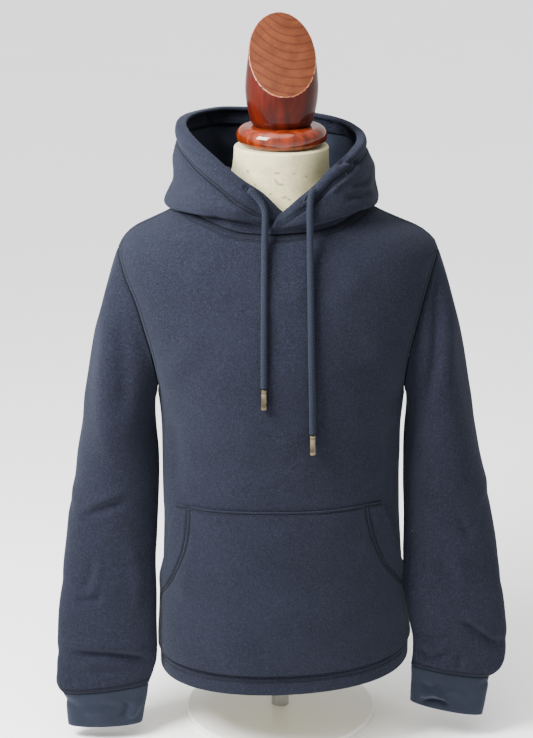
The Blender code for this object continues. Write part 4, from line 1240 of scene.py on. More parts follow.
def panel_grid(first_angle, widest, step, columns):
    """Angles, heights, distances from the side edges and from the neck seam, all by row."""
    tip = ARMHOLE_MIDDLE + ARMHOLE_HALF
    share = np.linspace(0, 1, 361)
    needles = (0.6, STITCH_START, STITCH_START + NEEDLE_SPACE)
    edge = refined(0, 14, 2.4, needles, 0.7, 0.7)
    hem_top = HEM_HEIGHT + HEM_TILT + 42
    rows = []

    def add(inset, height_at, neck=99.0):
        angle = mix(first_angle + inset, first_angle + 180 - inset, share)
        rows.append((*spread_row(angle, height_at(angle), edge, columns), neck))

    hem_needles = (0.6, HEM_STITCHES, HEM_STITCHES + NEEDLE_SPACE)
    for value in refined(0, 42, 2.4, hem_needles, 0.8, 0.8)[:-1]:
        add(seam_angle(HEM_HEIGHT), lambda angle: hem_height(angle) + value)
    for value in np.linspace(hem_top, tip, int((tip - hem_top) / step)):
        fade = np.clip(1 - (value - hem_top) / 45, 0, 1)
        add(np.maximum(armhole_cut(value, widest), seam_angle(value)),
            lambda angle: value + (hem_height(angle) - HEM_HEIGHT - HEM_TILT) * fade)
    angle = mix(first_angle + seam_angle(700), first_angle + 180 - seam_angle(700), share)
    depth = neck_depth(angle, tip)
    for value in np.linspace(1, 0, 13)[1:-1]:
        add(seam_angle(700), lambda angle: below_neck(angle, mix(NECK_ROWS, depth, value)))
    for value in refined(0, NECK_ROWS, 1.8, needles, 0.8, 0.7)[::-1]:
        add(seam_angle(700), lambda angle: below_neck(angle, value), value)
    angle, height, side, neck = (np.array([np.broadcast_to(row[k], len(rows[0][0]))
                                           for row in rows]) for k in range(4))
    return angle, height, side, neck


def armhole_rows(side, back):
    """Twin stitching round the front or back of an armhole."""
    turn = mix(8.0, 172.0, np.linspace(0, 1, 120)) + (180 if back else 0)
    return twin(lambda d: on_body(*armhole_point(turn, side, -d), 1.2), STITCH_START)


def neck_rows(first_angle):
    angle = mix(first_angle + 2, first_angle + 178, np.linspace(0, 1, 240))
    return twin(lambda d: on_body(angle, below_neck(angle, d), 1.2), STITCH_START)


def hem_rows(first_angle):
    angle = mix(first_angle + 0.6, first_angle + 179.4, np.linspace(0, 1, 300))
    return twin(lambda d: on_body(angle, hem_height(angle) + d, 1.2), HEM_STITCHES)


def body_panel(name, first_angle, widest, step, columns, creases, seed):
    """Outer panel with its hem turned up, its seams sunk and its stitching drawn in."""
    angle, height, side, neck = panel_grid(first_angle, widest, step, columns)
    points, normals = body_surface(angle, height), body_normal(angle, height)
    back = first_angle > 0
    stitched = [*hem_rows(first_angle), *neck_rows(first_angle)]
    stitched += [*armhole_rows(1, back), *armhole_rows(-1, back)]
    hem = np.where(height < 170, height - hem_height(angle), 99.0)
    held = smooth_step(hem / 10) * smooth_step(neck / 9) * smooth_step(side / 9)
    lift = crease_lift(points, normals, creases) + unevenness(points, seed, 130, 0.45)
    lift = lift * held + trough(points, stitched, 1.8, 1.05)
    # the cloth sinks into its seams and ripples a little along the hem's stitching
    lift -= 0.8 * bump_at(side, 0, 1.3) * (height > 470) + 0.8 * bump_at(neck, 0, 1.3)
    ripple = np.sin(angle * 2.9 + 2 * np.sin(angle * 0.37)) + np.sin(angle * 4.7 + hem * 0.25)
    lift += 0.16 * ripple * bump_at(hem, 22, 9)
    fold = np.clip(1 - hem / 2.1, 0, 1)
    lift -= 2.1 * (1 - np.sqrt(1 - fold * fold))
    wall = mix(DOUBLE, CLOTH, smooth_step((hem - HEM_DEPTH + 1) / 2))
    wall = np.where(fold > 0, np.maximum(DOUBLE * np.sqrt(1 - fold * fold), 0.4), wall)
    piece = cloth_wall(name, lifted(points, normals, lift), lifted(points, normals, lift - wall),
                       FLEECE)
    # painted shade along the stitching troughs and seam edges, for the material
    mark_points(piece, "hollow_shade", hollow_shade(points, stitched, side, neck))
    return piece, sew(name + "_stitches", piece, stitched)


FRONT_CREASES = (
    ("front", 14, 2.6, (-160, 500), (-130, 540), (-95, 590)),
    ("front", 14, 2.6, (160, 495), (134, 540), (104, 588)),
    ("front", 12, 3.2, (-150, 300), (-146, 400), (-150, 470)),
    ("front", 12, 2.8, (149, 380), (146, 430), (150, 480)),
    ("front", 10, -2.6, (-139, 350), (-136, 410), (-142, 470)),
    ("front", 9, -2.2, (136, 358), (137, 410), (141, 465)),
    ("front", 16, 1.8, (-60, 470), (-20, 440), (30, 452)),
    ("front", 18, -1.6, (-95, 430), (-55, 405), (-10, 412)),
    ("front", 15, 1.8, (-118, 664), (-92, 640), (-66, 622)),
    ("front", 15, 1.8, (104, 664), (84, 636), (60, 616)),
    ("front", 20, 2.0, (-40, 640), (0, 620), (34, 640)),
)
BACK_CREASES = (
    ("back", 16, 2.9, (-150, 500), (-110, 545), (-70, 590)),
    ("back", 16, 2.9, (150, 505), (112, 548), (72, 588)),
    ("back", 13, 2.5, (-146, 250), (-140, 350), (-146, 450)),
    ("back", 13, 2.5, (146, 240), (140, 340), (148, 450)),
    ("back", 18, -2.3, (-90, 420), (-30, 395), (40, 405)),
    ("back", 16, 2.2, (-60, 330), (0, 312), (80, 325)),
    ("back", 15, -2.2, (-104, 210), (-50, 195), (10, 200)),
    ("back", 13, 1.8, (30, 560), (60, 480), (68, 420)),
)


def front_panel():
    piece, stitches = body_panel("front_panel", 0, ARMHOLE_FRONT, 3.0, 126, FRONT_CREASES, 3)
    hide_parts("front")


def neck_tape():
    """Tape sewn inside over the neck seam; it lies deeper where the hood's halves lap."""
    angle = np.arange(0, 360, 2.0)
    heights = NECKLINE.at(angle).height - np.linspace(4.5, -4.0, 8)[:, None]
    angles, heights = np.broadcast_arrays(angle, heights)
    points, normals = body_surface(angles, heights), body_normal(angles, heights)
    depth = mix(4.9, 3.1, smooth_step((np.abs(angles - 90) - 45) / 12))
    return cloth_wall("neck_tape", lifted(points, normals, -depth),
                      lifted(points, normals, -depth - 0.7), ["looped_fleece_back"],
                      ring=True)


def back_panel():
    piece, stitches = body_panel("back_panel", 180, ARMHOLE_BACK, 3.6, 100, BACK_CREASES, 4)
    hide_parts("back")
    neck_tape()


# -------------------- sleeves and cuffs

SLEEVE_LEFT_CREASES = (
    ("front", 13, 4.2, (-224, 640), (-222, 547), (-226, 484), (-226, 400)),
    ("front", 11, -3.4, (-204, 590), (-200, 520), (-200, 460)),
    ("front", 6, -4.2, (-262, 316), (-235, 334), (-198, 347)),
    ("front", 8, 3.0, (-258, 328), (-232, 346), (-200, 360)),
    ("front", 7, -2.6, (-246, 270), (-249, 242), (-262, 212)),
    ("front", 6, 2.3, (-240, 268), (-242, 240), (-252, 210)),
    ("front", 5, -4.0, (-272, 204), (-254, 206), (-232, 212)),
    ("front", 6, -5.4, (-286, 131), (-253, 130), (-213, 127), (-170, 117)),
    ("front", 9, 3.8, (-290, 142), (-250, 143), (-205, 140), (-172, 132)),
    ("front", 8, 2.8, (-274, 106), (-240, 119), (-187, 107)),
    ("front", 9, 2.1, (-200, 300), (-188, 240), (-192, 180)),
    ("left", 11, -1.2, (-50, 320), (-10, 335), (30, 325)),
    ("left", 11, 1.0, (-52, 336), (-12, 350), (26, 342)),
    ("left", 11, -1.1, (-60, 215), (-20, 225), (10, 215)),
    ("left", 9, -1.6, (-66, 128), (-40, 124), (-18, 134)),
    ("left", 14, 3.0, (-20, 600), (-16, 520), (-24, 440)),
    ("back", 8, -3.0, (-270, 330), (-230, 345), (-195, 340)),
    ("back", 7, -3.8, (-290, 134), (-245, 126), (-180, 132)),
    ("back", 9, 2.8, (-286, 148), (-240, 140), (-184, 146)),
    ("back", 12, 3.0, (-226, 610), (-220, 520), (-226, 420)),
    ("back", 7, -2.7, (-262, 236), (-236, 226), (-200, 236)),
)
SLEEVE_RIGHT_CREASES = (
    ("front", 7, -6.3, (196, 655), (196, 599), (193, 538), (186, 504), (178, 460)),
    ("front", 12, 3.4, (212, 650), (214, 590), (210, 530), (202, 480)),
    ("front", 5, -6.0, (236, 180), (262, 160), (293, 134)),
    ("front", 6, 3.8, (240, 190), (264, 172), (292, 146)),
    ("front", 10, -3.0, (205, 268), (218, 244), (230, 220)),
    ("front", 10, 2.1, (218, 280), (234, 252), (246, 230)),
    ("front", 5, -3.0, (230, 325), (246, 291)),
    ("front", 6, -1.5, (236, 300), (262, 318)),
    ("front", 5, -4.2, (183, 131), (202, 122), (220, 128)),
    ("front", 6, 2.8, (185, 142), (205, 137), (224, 140)),
    ("front", 4, -3.8, (238, 108), (236, 128)),
    ("front", 7, -3.0, (176, 160), (200, 150), (232, 158)),
    ("right", 11, -1.2, (-60, 330), (-20, 345), (20, 340)),
    ("right", 11, 1.0, (-58, 346), (-18, 360), (18, 356)),
    ("right", 11, -1.1, (-64, 232), (-30, 222), (8, 236)),
    ("right", 9, -1.5, (-68, 148), (-44, 144), (-20, 156)),
    ("right", 14, 2.8, (-22, 610), (-20, 530), (-26, 440)),
    ("back", 8, -2.8, (262, 320), (228, 338), (190, 330)),
    ("back", 7, -3.8, (290, 152), (240, 142), (186, 148)),
    ("back", 9, 2.7, (288, 166), (242, 156), (190, 162)),
    ("back", 12, 3.0, (224, 610), (218, 520), (222, 420)),
    ("back", 8, -2.7, (196, 250), (226, 232), (262, 244)),
)


def sleeve(name, table, side, creases, seed):
    surface = sleeve_surface(table, side)
    levels = np.concatenate([refined(0, 1, 0.022, (0.0,), 0.01, 0.03)[:-1],
                             np.linspace(1, 2, 98)[:-4], np.linspace(1.965, 2, 9)])
    turns = np.arange(0, 360, 360 / 104)
    v, turn = np.meshgrid(levels, turns, indexing="ij")
    points = surface(turn, v)
    middle = points.mean(axis=1, keepdims=True)
    along_turn = surface(turn + 1.0, v) - surface(turn - 1.0, v)
    along_v = surface(turn, np.minimum(v + 0.004, 2)) - surface(turn, np.maximum(v - 0.004, 0))
    normals = unit(np.cross(along_turn, along_v))
    normals = normals * np.sign(dot(normals, points - middle))[..., None]
    share = smooth_step((1 - np.cos(np.radians(turn[0]))) / 2)[:, None]
    first = body_normal(*armhole_point(turn[0], side, 2 * GAP))
    normals[0] = unit(mix(normals[0], first, share))
    held = smooth_step(np.minimum(v / 0.08, (2 - v) / 0.02))
    lift = crease_lift(points, normals, creases) + unevenness(points, seed, 90, 0.55)
    # the lower sleeve is eased into its cuff in small gathers
    gather = np.sin(np.radians(turn) * 19 + seed) + np.sin(np.radians(turn) * 31 + 2 * seed)
    lift = lift * held + 0.28 * gather * bump_at(v, 1.965, 0.022)
    lift -= 0.7 * bump_at(v, 0, 0.012) * share[:, 0]
    piece = cloth_wall(name, lifted(points, normals, lift), lifted(points, normals, lift - CLOTH),
                       FLEECE, ring=True)
    # painted shade along the cuff seam's stitching and at both seams, for the material
    mark_points(piece, "hollow_shade", hollow_shade(points, sleeve_end_row(table, side),
                                          (2 - v) * LOWER_SLEEVE, v * UPPER_SLEEVE))
    return piece


def sleeve_end_row(table, side):
    turn = np.linspace(0, 360, 200)
    return [sleeve_ring(table, 0.985, turn, side)]


def sleeves():
    for name, table, side, creases, seed in (
            ("left", SLEEVE_LEFT, -1, SLEEVE_LEFT_CREASES, 5),
            ("right", SLEEVE_RIGHT, 1, SLEEVE_RIGHT_CREASES, 6)):
        piece = sleeve(name + "_sleeve", table, side, creases, seed)
        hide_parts("sleeve_" + name)
        stitches = sew(name + "_sleeve_stitches", piece, sleeve_end_row(table, side))


CUFF_LEFT_CREASES = (
    ("front", 5, 3.4, (-204, 32), (-194, 46), (-190, 58)),
    ("front", 5, -3.0, (-214, 34), (-206, 46), (-204, 58)),
    ("front", 4, -1.4, (-268, 48), (-240, 54), (-214, 50)),
    ("front", 5, 1.3, (-262, 40), (-236, 45)),
    ("left", 5, -1.4, (-64, 50), (-50, 56), (-38, 48)),
    ("back", 4, -1.4, (-262, 54), (-236, 46), (-206, 50)),
)
CUFF_RIGHT_CREASES = (
    ("front", 4, 5.0, (186, 66), (205, 71), (222, 62)),
    ("front", 3.5, -4.6, (188, 58), (210, 60), (226, 53)),
    ("front", 4, -2.4, (186, 84), (202, 78), (216, 86)),
    ("front", 5, 1.4, (200, 66), (226, 74), (250, 66)),
    ("right", 5, -1.4, (-64, 78), (-50, 84), (-38, 76)),
    ("back", 4, -1.4, (258, 84), (230, 76), (196, 80)),
)


def cuff(name, table, side, creases, seed):
    turns = np.arange(0, 360, 2.5)
    downs = np.concatenate([np.linspace(0, 0.06, 6), np.linspace(0.09, 0.93, 26),
                            1 - 0.05 * np.linspace(1, 0, 8) ** 1.5])
    down, turn = np.meshgrid(downs, turns, indexing="ij")
    points = sleeve_ring(table, down, turn, side)
    around = sleeve_ring(table, down, turn + 1, side) - sleeve_ring(table, down, turn - 1, side)
    normals = unit(vec(around[..., 1], -around[..., 0], 0 * turn))
    middle = points.mean(axis=1, keepdims=True)
    normals = normals * np.sign(dot(normals, points - middle))[..., None]
    fold = np.clip(1 - (1 - down) / 0.03, 0, 1)
    held = smooth_step(down / 0.15) * smooth_step((1 - down) / 0.1)
    lift = (crease_lift(points, normals, creases) + unevenness(points, seed, 40, 0.35)) * held
    lift -= 0.7 * bump_at(down, 0, 0.03) + CUFF_CLOTH / 2 * (1 - np.sqrt(1 - fold * fold))
    inner = mix(CLOTH, CUFF_CLOTH, smooth_step(down / 0.1))
    inner -= CUFF_CLOTH / 2 * (1 - np.sqrt(1 - fold * fold))
    inner = np.maximum(inner, 0.35 - lift)
    piece = cloth_wall(name, lifted(points, normals, lift), lifted(points, normals, -inner),
                       ["rib_knit"], ring=True)
    # painted shade at the seam to the sleeve, for the material
    mark_points(piece, "hollow_shade", hollow_shade(points, [], down * 50))
    return piece


def cuffs():
    for name, table, side, creases, seed, girth in (
            ("left", CUFF_LEFT, -1, CUFF_LEFT_CREASES, 15, 0.25),
            ("right", CUFF_RIGHT, 1, CUFF_RIGHT_CREASES, 16, 0.24)):
        piece = cuff(name + "_cuff", table, side, creases, seed)
        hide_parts("cuff_" + name)


# -------------------- pocket

POCKET_CREASES = (
    ("front", 11, 2.1, (-128, 210), (-122, 262), (-112, 316)),
    ("front", 11, 1.9, (128, 206), (118, 262), (106, 312)),
    ("front", 14, 1.6, (-84, 330), (-30, 318), (30, 326)),
    ("front", 14, -1.4, (-70, 190), (-20, 178), (46, 186)),
    ("front", 12, -1.3, (60, 250), (84, 286), (98, 330)),
    ("front", 12, 1.3, (-100, 160), (-60, 168), (-20, 162)),
)


def pocket_stand(t, distance):
    """How far the pocket stands off the panel: its mouths gape."""
    mouth = smooth_step((t - 0.32) / 0.2) * smooth_step((1 - t) / 0.12)
    return POCKET_STAND_OFF + POCKET_MOUTH_LIFT * mouth * smooth_step(1 - distance / 46)


def pocket_band(t):
    """Distance from a mouth to its first row of stitches, widest half way up."""
    return POCKET_BAND + POCKET_BAND_SPREAD * np.sin(
        math.pi * (t - POCKET_CORNER) / (1 - POCKET_CORNER))


def pocket_rows():
    """Twin stitching along the mouths and one row under the top edge."""
    t = np.linspace(POCKET_CORNER, 0.995, 120)
    height = mix(HEM_HEIGHT + POCKET_RISE, POCKET_TOP.at(90).height, t)
    paths = []
    for side in (1, -1):
        sides = POCKET_SIDES.at(height)
        edge = sides.right if side > 0 else sides.left
        for distance in (pocket_band(t), pocket_band(t) + sizes().needle_space / MM):
            angle = edge + side * np.degrees(distance / POCKET_RADIUS)
            paths.append(on_body(angle, mix(hem_height(angle) + POCKET_RISE,
                                            POCKET_TOP.at(angle).height, t),
                                 pocket_stand(t, distance) + CLOTH + 1.0))
    angle = np.linspace(37.6, 147.4, 200)
    paths.append(on_body(angle, POCKET_TOP.at(angle).height - 3.2,
                         POCKET_STAND_OFF + CLOTH + 1.0))
    return paths


def pocket():
    rows = refined(0, POCKET_HEIGHT, 2.3, (0.6, POCKET_HEIGHT - 3.2, POCKET_HEIGHT),
                   0.8, 0.8) / POCKET_HEIGHT
    share = np.linspace(0, 1, 401)
    needles = np.arange(POCKET_BAND, POCKET_BAND + POCKET_BAND_SPREAD + 7, 2.5)
    edge = refined(0, 48, 2.3, (0.6, *needles), 0.8, 1.3)
    table = []
    for t in rows:
        sides = POCKET_SIDES.at(mix(HEM_HEIGHT + POCKET_RISE, POCKET_TOP.at(90).height, t))
        angle = mix(sides.right, sides.left, share)
        height = mix(hem_height(angle) + POCKET_RISE, POCKET_TOP.at(angle).height, t)
        table.append(spread_row(angle, height, edge, 96))
    angle, height, side = (np.array([row[k] for row in table]) for k in range(3))
    t = rows[:, None]
    points, normals = body_surface(angle, height), body_normal(angle, height)
    base = pocket_stand(t, side)
    top = (1 - t) * POCKET_HEIGHT
    held = smooth_step(side / 12) * smooth_step(top / 10) * smooth_step(t / 0.06)
    lift = crease_lift(points, normals, POCKET_CREASES) + unevenness(points, 8, 120, 0.4)
    lift = np.maximum(lift, -0.7) * held
    stitched = pocket_rows()
    surface = lifted(points, normals, base + CLOTH)
    sunk = trough(surface, stitched, 1.9, 1.5)
    rounded = 0.7 * (bump_at(side, 0, 1.0) + bump_at(top, 0, 1.0))
    outer = base + CLOTH + lift + sunk - rounded
    piece = cloth_wall("kangaroo_pocket", lifted(points, normals, outer),
                       lifted(points, normals, base + np.minimum(lift, 0) * 0.5), FLEECE)
    # painted shade along the stitching troughs, for the material
    mark_points(piece, "hollow_shade", hollow_shade(surface, stitched))
    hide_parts("pocket")
    sew("pocket_stitches", piece, stitched)


# -------------------- hood

HOOD_CREASES = {
    -1: (
        ("front", 3, -2.0, (-48, 764), (-38, 757)),
        ("front", 7, -2.2, (-120, 742), (-95, 735), (-70, 722)),
        ("front", 7, 3.2, (-120, 739), (-92, 738), (-62, 737), (-36, 734)),
        ("left", 9, -2.5, (-70, 770), (-20, 748), (30, 742)),
        ("left", 12, 2.7, (-10, 790), (40, 770), (90, 752)),
        ("back", 12, -4.2, (-80, 800), (-70, 740), (-60, 680)),
        ("back", 12, -3.1, (-20, 700), (0, 640), (10, 610)),
        ("back", 14, 2.7, (-110, 740), (-100, 690), (-86, 650)),
        ("left", 10, -2.4, (60, 800), (84, 740), (92, 700)),
    ),
    1: (
        ("front", 3, -4.7, (66, 787), (77, 790), (97, 787)),
        ("front", 5, -4.1, (84, 757), (103, 760), (118, 764)),
        ("front", 5, -4.7, (77, 746), (96, 748), (119, 745)),
        ("front", 5, 3.6, (80, 752), (100, 754), (119, 755)),
        ("front", 4, 2.5, (60, 757), (71, 765), (86, 773)),
        ("right", 9, -4.1, (-60, 756), (-10, 748), (40, 740)),
        ("right", 11, 3.6, (-30, 776), (30, 768), (80, 748)),
        ("back", 12, -5.8, (70, 790), (66, 730), (70, 680)),
        ("back", 14, 4.1, (104, 740), (98, 690), (84, 650)),
        ("right", 10, -3.8, (50, 790), (80, 736), (94, 700)),
    ),
}
BAND_CREASES = {                 # on the face that looks into the hood
    -1: (
        ("right", 3.5, -2.8, (-18, 826), (-14, 806)), ("right", 3.5, -2.5, (-34, 822), (-30, 802)),
        ("right", 3.5, -2.3, (-3, 828), (1, 808)), ("right", 4, -2.7, (20, 828), (25, 806)),
        ("front", 3.5, -2.8, (-100, 826), (-98, 806)),
    ),
    1: (
        ("front", 3.5, -3.4, (64, 822), (70, 800)), ("front", 4, -3.4, (84, 806), (93, 780)),
        ("left", 4, -2.5, (-10, 812), (-4, 790)), ("left", 4, -2.3, (16, 812), (20, 790)),
    ),
}
EYELETS = {                      # ends of the buttonholes that the drawcord leaves by
    -1: ((-46, -79, 764), (-33, -84, 753)),
    1: ((40, -78, 761), (27, -84, 746)),
}


def hood_rows(side, rim):
    """Levels of a hood half's rows: by distance in the channel, then by level."""
    width = channel_width(side, rim)
    channel = channel_level(side, rim)
    marks = np.concatenate([np.linspace(0, 2.2, 8), np.linspace(3.4, 10, 6)])
    needles = np.concatenate([np.linspace(-11, -1.2, 15), np.linspace(-0.6, 0, 2)])
    rows, distances = [], []
    spots = [np.full_like(rim, mark) for mark in marks]
    spots += [mix(10.0, width - 11, s) for s in np.linspace(0, 1, 10)[1:-1]]
    spots += [width + needle for needle in needles]
    for distance in spots:
        rows.append(np.minimum(channel_level(side, rim, distance), channel))
        distances.append(distance)
    for s in np.linspace(0, 1, 20)[1:]:
        rows.append(mix(channel, 3.0, s))
        distances.append(width + 1 + 50 * s)
    for v in np.concatenate([np.linspace(3, 4, 19)[1:], np.linspace(4, 7, 31)[1:]]):
        rows.append(np.full_like(rim, v))
        distances.append(np.full_like(rim, 120.0))
    return np.array(rows), np.array(distances)


def channel_rows(side, inside=False):
    """Twin stitching under the drawcord channel."""
    rim = np.linspace(3, HOOD_LAST - 1, 420)

    def row(distance):
        v = channel_level(side, rim, channel_width(side, rim) - distance)
        turn = hood_turns(side, rim, v)
        return lifted(hood_point(side, turn, v), hood_normal(side, turn, v),
                      -DOUBLE - 1.2 if inside else 1.2)

    return twin(row, 2.0)


def centre_row(side):
    """Single row beside the centre-back seam."""
    v = np.linspace(0.4, 6.8, 200)
    turn = np.full_like(v, HOOD_LAST - math.degrees(STITCH_START / 130))
    return [lifted(hood_point(side, turn, v), hood_normal(side, turn, v), 1.2)]


def buttonhole(name, piece, start, end):
    """Close satin stitches round a slit."""
    start, end = np.array(start, float), np.array(end, float)
    middle, half = (start + end) / 2, np.linalg.norm(end - start) / 2
    along = unit(end - start)
    _, normals = snapped(piece, [middle])
    across = unit(np.cross(normals[0], along))
    turn = np.linspace(0, 2 * math.pi, 61)[:-1, None]
    rims = [middle + along * np.cos(turn) * (half + grow) + across * np.sin(turn) * (1.2 + grow)
            for grow in (0.0, 1.9)]
    places, normals = snapped(piece, np.concatenate(rims))
    return capsules(name, places[:60], places[60:], normals[:60] + normals[60:],
                    thick=0.95)


def hood_creasing(side, points, normals):
    """Lift of a hood half's folds, which its lining follows where they sink."""
    return (crease_lift(points, normals, HOOD_CREASES[side])
            + unevenness(points, 20 + side, 80, 0.5))


def hood_half(name, side):
    rim = HOOD_LAST * np.linspace(0, 1, 176) ** HOOD_EASE
    v, distance = hood_rows(side, rim)
    turn = hood_turns(side, rim, v)
    points, normals = hood_point(side, turn, v), hood_normal(side, turn, v)
    width = channel_width(side, rim)
    folded = 1 - smooth_step((distance - width * 0.97) / (0.03 * width))
    lapped = mix(LAP_CLOTH, DOUBLE, smooth_step((rim - 10) / 10))
    wall = mix(CLOTH, np.broadcast_to(lapped, v.shape), folded)
    fold = np.clip(1 - distance / 2.1, 0, 1)
    rounded = np.sqrt(1 - fold * fold)
    held = smooth_step(distance / 5) * smooth_step((7 - v) / 0.5)
    inner_crease = crease_lift(points, -normals, BAND_CREASES[side])
    puffed = 2.1 * bump_at(distance, width / 2 - 3, width / 3.4) * smooth_step((rim - 16) / 12)
    stitched = [*channel_rows(side), *centre_row(side)]
    slit = [np.array(EYELETS[side], float)]
    lift = hood_creasing(side, points, normals) * held + puffed
    lift += trough(points, stitched, 2.0, 1.0) + trough(points, slit, 1.8, 1.5)
    lift -= 2.3 * bump_at(distance, width - 4, 5.5) * smooth_step((rim - 10) / 12)
    lift -= 0.8 * bump_at((180 - turn) * HOOD_ARC, 0, 1.3) + 0.7 * bump_at(v, 7, 0.04)
    lift -= wall / 2 * (1 - rounded)
    inner = lift - wall * np.maximum(rounded, 0.12)
    band = np.where(distance < width, 1.0, 0.0) * smooth_step(distance / 3)
    inner += (-inner_crease + 0.5 * bump_at(distance, width / 2, width / 3.4)
              - 0.55 * bump_at(distance, width - 2, 1.5) - puffed) * band
    inner = np.minimum(inner, lift - 0.5)
    piece = cloth_wall(name, lifted(points, normals, lift), lifted(points, normals, inner),
                       ["brushed_cotton_fleece", "brushed_cotton_fleece"])
    # painted shade along the stitching, in the buttonhole slits and at the seams, for the material
    mark_points(piece, "hollow_shade", hollow_shade(points, [*stitched, *slit], (180 - turn) * HOOD_ARC,
                                          (7 - v) * 30))
    rows = sew(name + "_stitches", piece, stitched)
    inside = sew(name + "_inner_stitches", piece, channel_rows(side, inside=True)[:1])
    return piece, [rows, inside, buttonhole(name + "_buttonhole", piece, *EYELETS[side])]


def hood():
    for name, side, area in (("left", -1, 0.09), ("right", 1, 0.08)):
        piece, details = hood_half(name + "_hood", side)
        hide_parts("hood_" + name)


LINING_CREASES = {
    -1: (
        ("front", 10, 2.5, (-40, 790), (-10, 770), (20, 780)),
        ("front", 9, 2.0, (-90, 790), (-70, 776), (-46, 782)),
    ),
    1: (
        ("front", 10, 3.0, (60, 780), (84, 764), (96, 748)),
        ("front", 10, 2.5, (20, 790), (46, 772), (60, 776)),
    ),
}
LINING_LUMPS = {                 # slack of the lining by the neck: turn, reach round, height
    -1: ((90, 20, 42), (124, 12, 14), (58, 10, 12)),
    1: ((96, 12, 12), (66, 9, 16), (130, 12, 10)),
}


def grid_normals(points):
    across, down = np.gradient(points, axis=1), np.gradient(points, axis=0)
    return unit(np.cross(across, down))


def hood_lining_half(name, side):
    """Lining from the channel down the hood and back up over its bottom to the neck."""
    first = (LINING_START / HOOD_LAST) ** (1 / HOOD_EASE)
    rim = HOOD_LAST * np.linspace(first, 1, 88) ** HOOD_EASE
    channel = channel_level(side, rim)
    deep = smooth_step((rim - 60) / 40)
    levels = [mix(channel + 0.08, 3.0, s) for s in np.linspace(0, 1, 66)]
    levels += [mix(3.0, mix(3.24, 3.75, deep), s) for s in np.linspace(0, 1, 16)[1:]]
    v = np.array(levels)
    turn = hood_turns(side, rim, v)
    points, normals = hood_point(side, turn, v), hood_normal(side, turn, v)
    depth = CLOTH + GAP + 0.6 * (1 - smooth_step((v - channel) / 0.5))
    depth = depth + 0.4 * smooth_step((v - 3.0) / 0.2) + LINING
    held = smooth_step((v - channel - 0.08) / 0.2) * smooth_step((HOOD_LAST + 1 - turn) / 6)
    bulge = crease_lift(points, -normals, LINING_CREASES[side]) * held
    sunk = np.minimum(hood_creasing(side, points, normals) * smooth_step((7 - v) / 0.5), 0)
    hung = lifted(points, normals, sunk - depth - np.maximum(bulge, 0))
    azimuth = 90 - side * turn[-1]
    start = hung[-1]

    def over_body(share, lift):
        height = mix(start[:, 2], LINING_FOOT, share)
        return on_body(body_angle(azimuth, height), height, lift)

    knots = np.stack((start, over_body(0.45, 13.0), over_body(0.75, 9.0), over_body(1.0, 2.5)),
                     axis=-2)
    shares = np.linspace(0, 1, 34)[1:]
    floor = np.array([curve_through(knots, np.full_like(rim, 3 * share)) for share in shares])
    for centre, reach, height in LINING_LUMPS[side]:
        rise = bump_at(turn[-1], centre, reach) * bump_at(shares[:, None], 0.82, 0.22)
        floor[..., 2] += height * rise
    inner = np.concatenate([hung, floor])
    into = grid_normals(inner)
    into *= np.sign(dot(into[5, 20], -normals[5, 20]))
    ribs = 0.25 * np.sin(2 * math.pi * inner[..., 2] / (sizes().rib / MM))
    return cloth_wall(name, lifted(inner, into, ribs - 0.25), lifted(inner, into, -LINING),
                      ["ribbed_jersey"])


def hood_lining():
    for name, side, area in (("left", -1, 0.064), ("right", 1, 0.058)):
        piece = hood_lining_half(name + "_hood_lining", side)
        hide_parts("hood_lining_" + name)


# -------------------- drawcords

def cord_points(route, step):
    knots = np.array(route, float)
    total = knot_spans(knots).sum()
    count = int(round(total / step))
    knots = np.broadcast_to(knots, (count + 1, *knots.shape))
    return curve_through(knots, level_at(knots, np.linspace(0, total, count + 1)))


def braid_relief(turn, along, strands):
    """Height, 0 to 1, of a braid with this many strands each way round."""
    cell = 2 * math.pi * CORD_RADIUS / strands
    one, other = strands * turn + along / cell, strands * turn - along / cell
    over = (np.floor(one) + np.floor(other)) % 2 < 1
    one, other = one % 1 - 0.5, other % 1 - 0.5
    across, length = np.where(over, one, other), np.where(over, other, one)
    crown = 0.55 + 0.45 * np.cos(math.pi * length)
    return np.sqrt(np.maximum(np.cos(math.pi * across), 0)) * crown


def aglet(name, route, stem):
    """Detailed cord tip where the plain one hangs."""
    piece = turned(name, AGLET_PROFILE, ["brushed_nickel"], "nickel", steps=64, sharp=40)
    last = Vector(route[-1])
    down = (last - Vector(route[-2])).normalized()
    turn = (-down).to_track_quat("Z", "Y").to_matrix().to_4x4()
    piece.data.transform(Matrix.Translation((last + down * GAP) * MM) @ turn)
    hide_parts(stem)
    return piece


def drawcord(name, route):
    path = cord_points(route, 0.7)
    around = 50
    along = unit(np.gradient(path, axis=0))
    ahead = np.array((0.0, 1.0, 0.0))
    across = unit(np.cross(along, ahead))
    other = np.cross(along, across)
    turn = np.arange(around) / around
    reached = lengths_along(path)[:, None]
    relief = braid_relief(turn[None, :], reached, sizes().strands)
    radius = CORD_RADIUS - BRAID_DEPTH * (1 - relief)
    radius = radius * np.minimum(1, 0.75 + 0.25 * smooth_step(
        np.minimum(reached, reached[-1] - reached) / 1.5))
    angle = 2 * math.pi * turn[None, :, None]
    rings = (path[:, None, :] + (across[:, None, :] * np.cos(angle)
                                 + other[:, None, :] * np.sin(angle)) * radius[..., None])
    faces = grid_faces(len(path), around, True, 0, False).tolist()
    faces.append(list(range(around))[::-1])
    faces.append([(len(path) - 1) * around + j for j in range(around)])
    piece = add_piece(name, rings.reshape(-1, 3), faces, ["braided_cotton"])
    outward_faces(piece)
    # painted shade, strongest in the hollows between the braid's strands
    mark_points(piece, "hollow_shade", np.clip(1.3 - 1.9 * relief, 0, 1))
    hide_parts("drawcord_" + name.split("_")[0])


